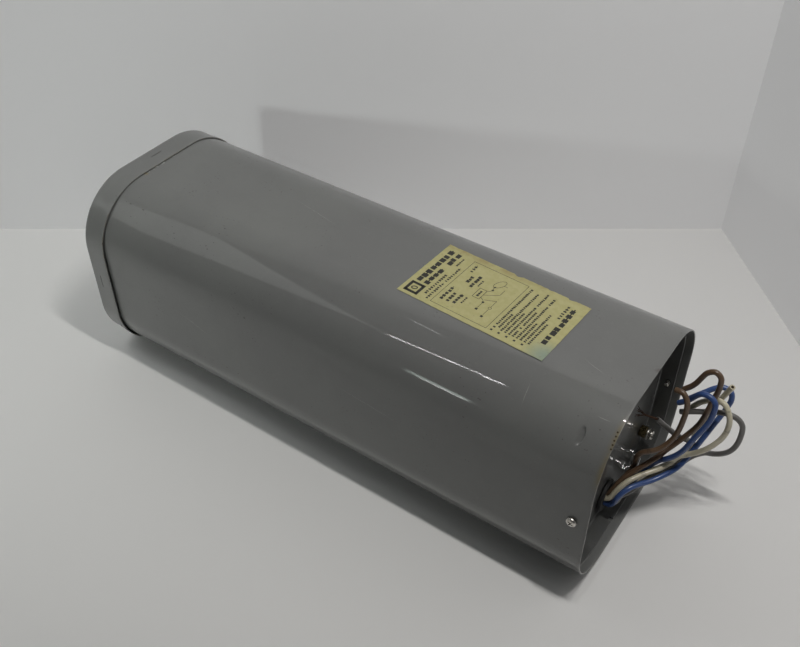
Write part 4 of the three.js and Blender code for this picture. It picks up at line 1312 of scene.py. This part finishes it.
def stage_sheet(name, points, material):
    """A flat sheet of the room. Its front is the side from which its points run anticlockwise."""
    mesh = bpy.data.meshes.new(name)
    mesh.from_pydata([Vector(point) * MM for point in points], [], [(0, 1, 2, 3)])
    sheet = bpy.data.objects.new(name, mesh)
    bpy.context.scene.collection.objects.link(sheet)
    mesh.materials.append(material)
    return sheet


def room_material(name, colour, one_sided=False, glow=0.0):
    """Matt white board. A one-sided sheet is clear from behind, so that it never hides the object."""
    material, tree, surface, coords = start_material(name)
    patches = noise_value(tree, coords, 3.0, detail=3)
    shade = blend_colour(tree, patches, tuple(c * 0.985 for c in colour), colour)
    grain = noise_value(tree, coords, 700, detail=2)
    set_inputs(tree, surface, Base_Color=shade, Roughness=0.6)
    set_inputs(tree, surface, Emission_Color=colour, Emission_Strength=glow)
    set_bump(tree, surface, grain, 0.02)
    if one_sided:
        clear = add_node(tree, "ShaderNodeBsdfTransparent").outputs[0]
        back = add_node(tree, "ShaderNodeNewGeometry").outputs["Backfacing"]
        mixed = add_node(tree, "ShaderNodeMixShader", {0: back, 1: surface.outputs[0], 2: clear})
        tree.links.new(mixed.outputs[0], tree.nodes["Material Output"].inputs[0])
    return material


def floor_material():
    """The floor board. Its far parts glow for the camera only, so that it stays pale from every side."""
    material = room_material("floor_board", (0.80, 0.795, 0.785))
    tree = material.node_tree
    coords = add_node(tree, "ShaderNodeTexCoord").outputs["Object"]
    away = add_node(tree, "ShaderNodeVectorMath", {0: coords}, operation="LENGTH").outputs["Value"]
    seen = add_node(tree, "ShaderNodeLightPath").outputs["Is Camera Ray"]
    near, far = FLOOR_GLOW["near"] * MM, FLOOR_GLOW["far"] * MM
    glow = times(tree, seen, ramp(tree, away, near, far), FLOOR_GLOW["strength"])
    set_inputs(tree, tree.nodes["Principled BSDF"], Emission_Strength=glow)
    return material


def make_room():
    """A pale floor, and two low walls behind and to the right."""
    base, reach = CAP_LOW.z, ROOM["floor"]
    square = [(-reach, -reach, base), (reach, -reach, base), (reach, reach, base), (-reach, reach, base)]
    stage_sheet("floor", square, floor_material())
    corner, left, right = (Vector((*ROOM[key], base)) for key in ("corner", "left", "right"))
    up = Vector((0, 0, ROOM["height"]))
    far_left = corner + (left - corner) * 2.2
    far_right = corner + (right - corner) * 4
    wall = room_material("wall_board", (0.78, 0.78, 0.785), one_sided=True, glow=0.10)
    stage_sheet("back_wall", [far_left, corner, corner + up, far_left + up], wall)
    stage_sheet("right_wall", [corner, far_right, far_right + up, corner + up], wall)


def area_light(name, place, target, size, power, colour=(1, 1, 1), mirror_only=False):
    data = bpy.data.lights.new(name, "AREA")
    data.shape = "RECTANGLE"
    data.size, data.size_y = size[0] * MM, size[1] * MM
    data.energy = power
    data.color = colour
    light = bpy.data.objects.new(name, data)
    bpy.context.scene.collection.objects.link(light)
    light.location = Vector(place) * MM
    light.rotation_euler = (Vector(target) - Vector(place)).to_track_quat("-Z", "Y").to_euler()
    light.visible_camera = False
    light.visible_diffuse = not mirror_only
    return light


def tube_light(name, start, end, width, power, colour=(1, 1, 1)):
    """A tube that only shows in glossy surfaces."""
    begin, finish = Vector(start), Vector(end)
    centre = (begin + finish) / 2
    length = (finish - begin).length
    light = area_light(name, centre, (0, 0, 85), (length, width), power, colour, mirror_only=True)
    ahead = (finish - begin).normalized()
    back = (centre - Vector((0, 0, 85))).normalized()
    side = back.cross(ahead).normalized()
    light.rotation_euler = Matrix((ahead, side, ahead.cross(side))).transposed().to_euler()
    return light


def make_lights():
    world = bpy.data.worlds.new("soft_room")
    bpy.context.scene.world = world
    world.use_nodes = True
    background = world.node_tree.nodes["Background"]
    background.inputs[0].default_value = (0.92, 0.95, 1.0, 1)
    seen = add_node(world.node_tree, "ShaderNodeLightPath").outputs["Is Camera Ray"]
    strength = blend_value(world.node_tree, seen, 0.02, 0.35)
    world.node_tree.links.new(strength, background.inputs[1])
    for index in range(7):
        spot = (215 + 38 * index, -78, 1050)
        area_light(f"ceiling_{index}", spot, (*spot[:2], 0), (7, 26), 0.58, (1, 0.985, 0.96))
    window = area_light("window", (-260, -950, 375), (-330, 150, 130), (90, 70), 0.3, (0.95, 1.0, 0.97))
    window.visible_glossy = False
    window.data.spread = math.radians(75)
    fill = area_light("left_fill", (-620, -250, 1050), (-390, -10, 0), (420, 420), 0.37, (0.97, 1.0, 0.98))
    fill.data.spread = math.radians(62)
    fill.visible_glossy = False
    area_light("side_panel", (-1650, -700, 1500), (-200, -50, 150), (1500, 1100), 5.0, (0.98, 1, 0.97), True)
    tube_light("far_tube", (-718, -1006, 1500), (-333, -803, 1500), 8, 0.9)
    tube_light("near_tube", (-533, 17, 1500), (-456, -27, 1500), 10, 0.045)
    tube_light("window_bar", (-275, -950, 362), (-180, -950, 362), 5, 0.05)
    tube_light("window_band", (-300, -950, 392), (-180, -950, 392), 55, 0.13, (0.85, 1.0, 0.9))


def make_camera():
    data = bpy.data.cameras.new("camera")
    data.lens = CAMERA["lens"]
    data.sensor_width = 36
    camera = bpy.data.objects.new("camera", data)
    bpy.context.scene.collection.objects.link(camera)
    rise = math.radians(CAMERA["elevation"])
    back = horizontal(CAMERA["azimuth"]) * math.cos(rise) + Vector((0, 0, math.sin(rise)))
    camera.location = (Vector(CAMERA["target"]) + back * CAMERA["distance"]) * MM
    camera.rotation_euler = (-back).to_track_quat("-Z", "Y").to_euler()
    bpy.context.scene.camera = camera


make_sleeve()
make_cap()
make_plate()
make_grommet()
make_side_screw("screw_near_body", "side_screw_near", NEAR_SCREW, "-y", "side_screw_near", 0.5)
make_side_screw("screw_far_body", "side_screw_far", FAR_SCREW, "y", "side_screw_far", 0.2)
make_earth_post()
make_earth_washer()
make_earth_screw()
make_clip()
for lead_name in LEADS:
    make_lead(lead_name, lead_name.split("_")[0])
make_strands()
make_label()
make_print()
dress_inside()
make_room()
make_lights()
make_camera()
view = bpy.context.scene.view_settings
view.view_transform = "Standard"
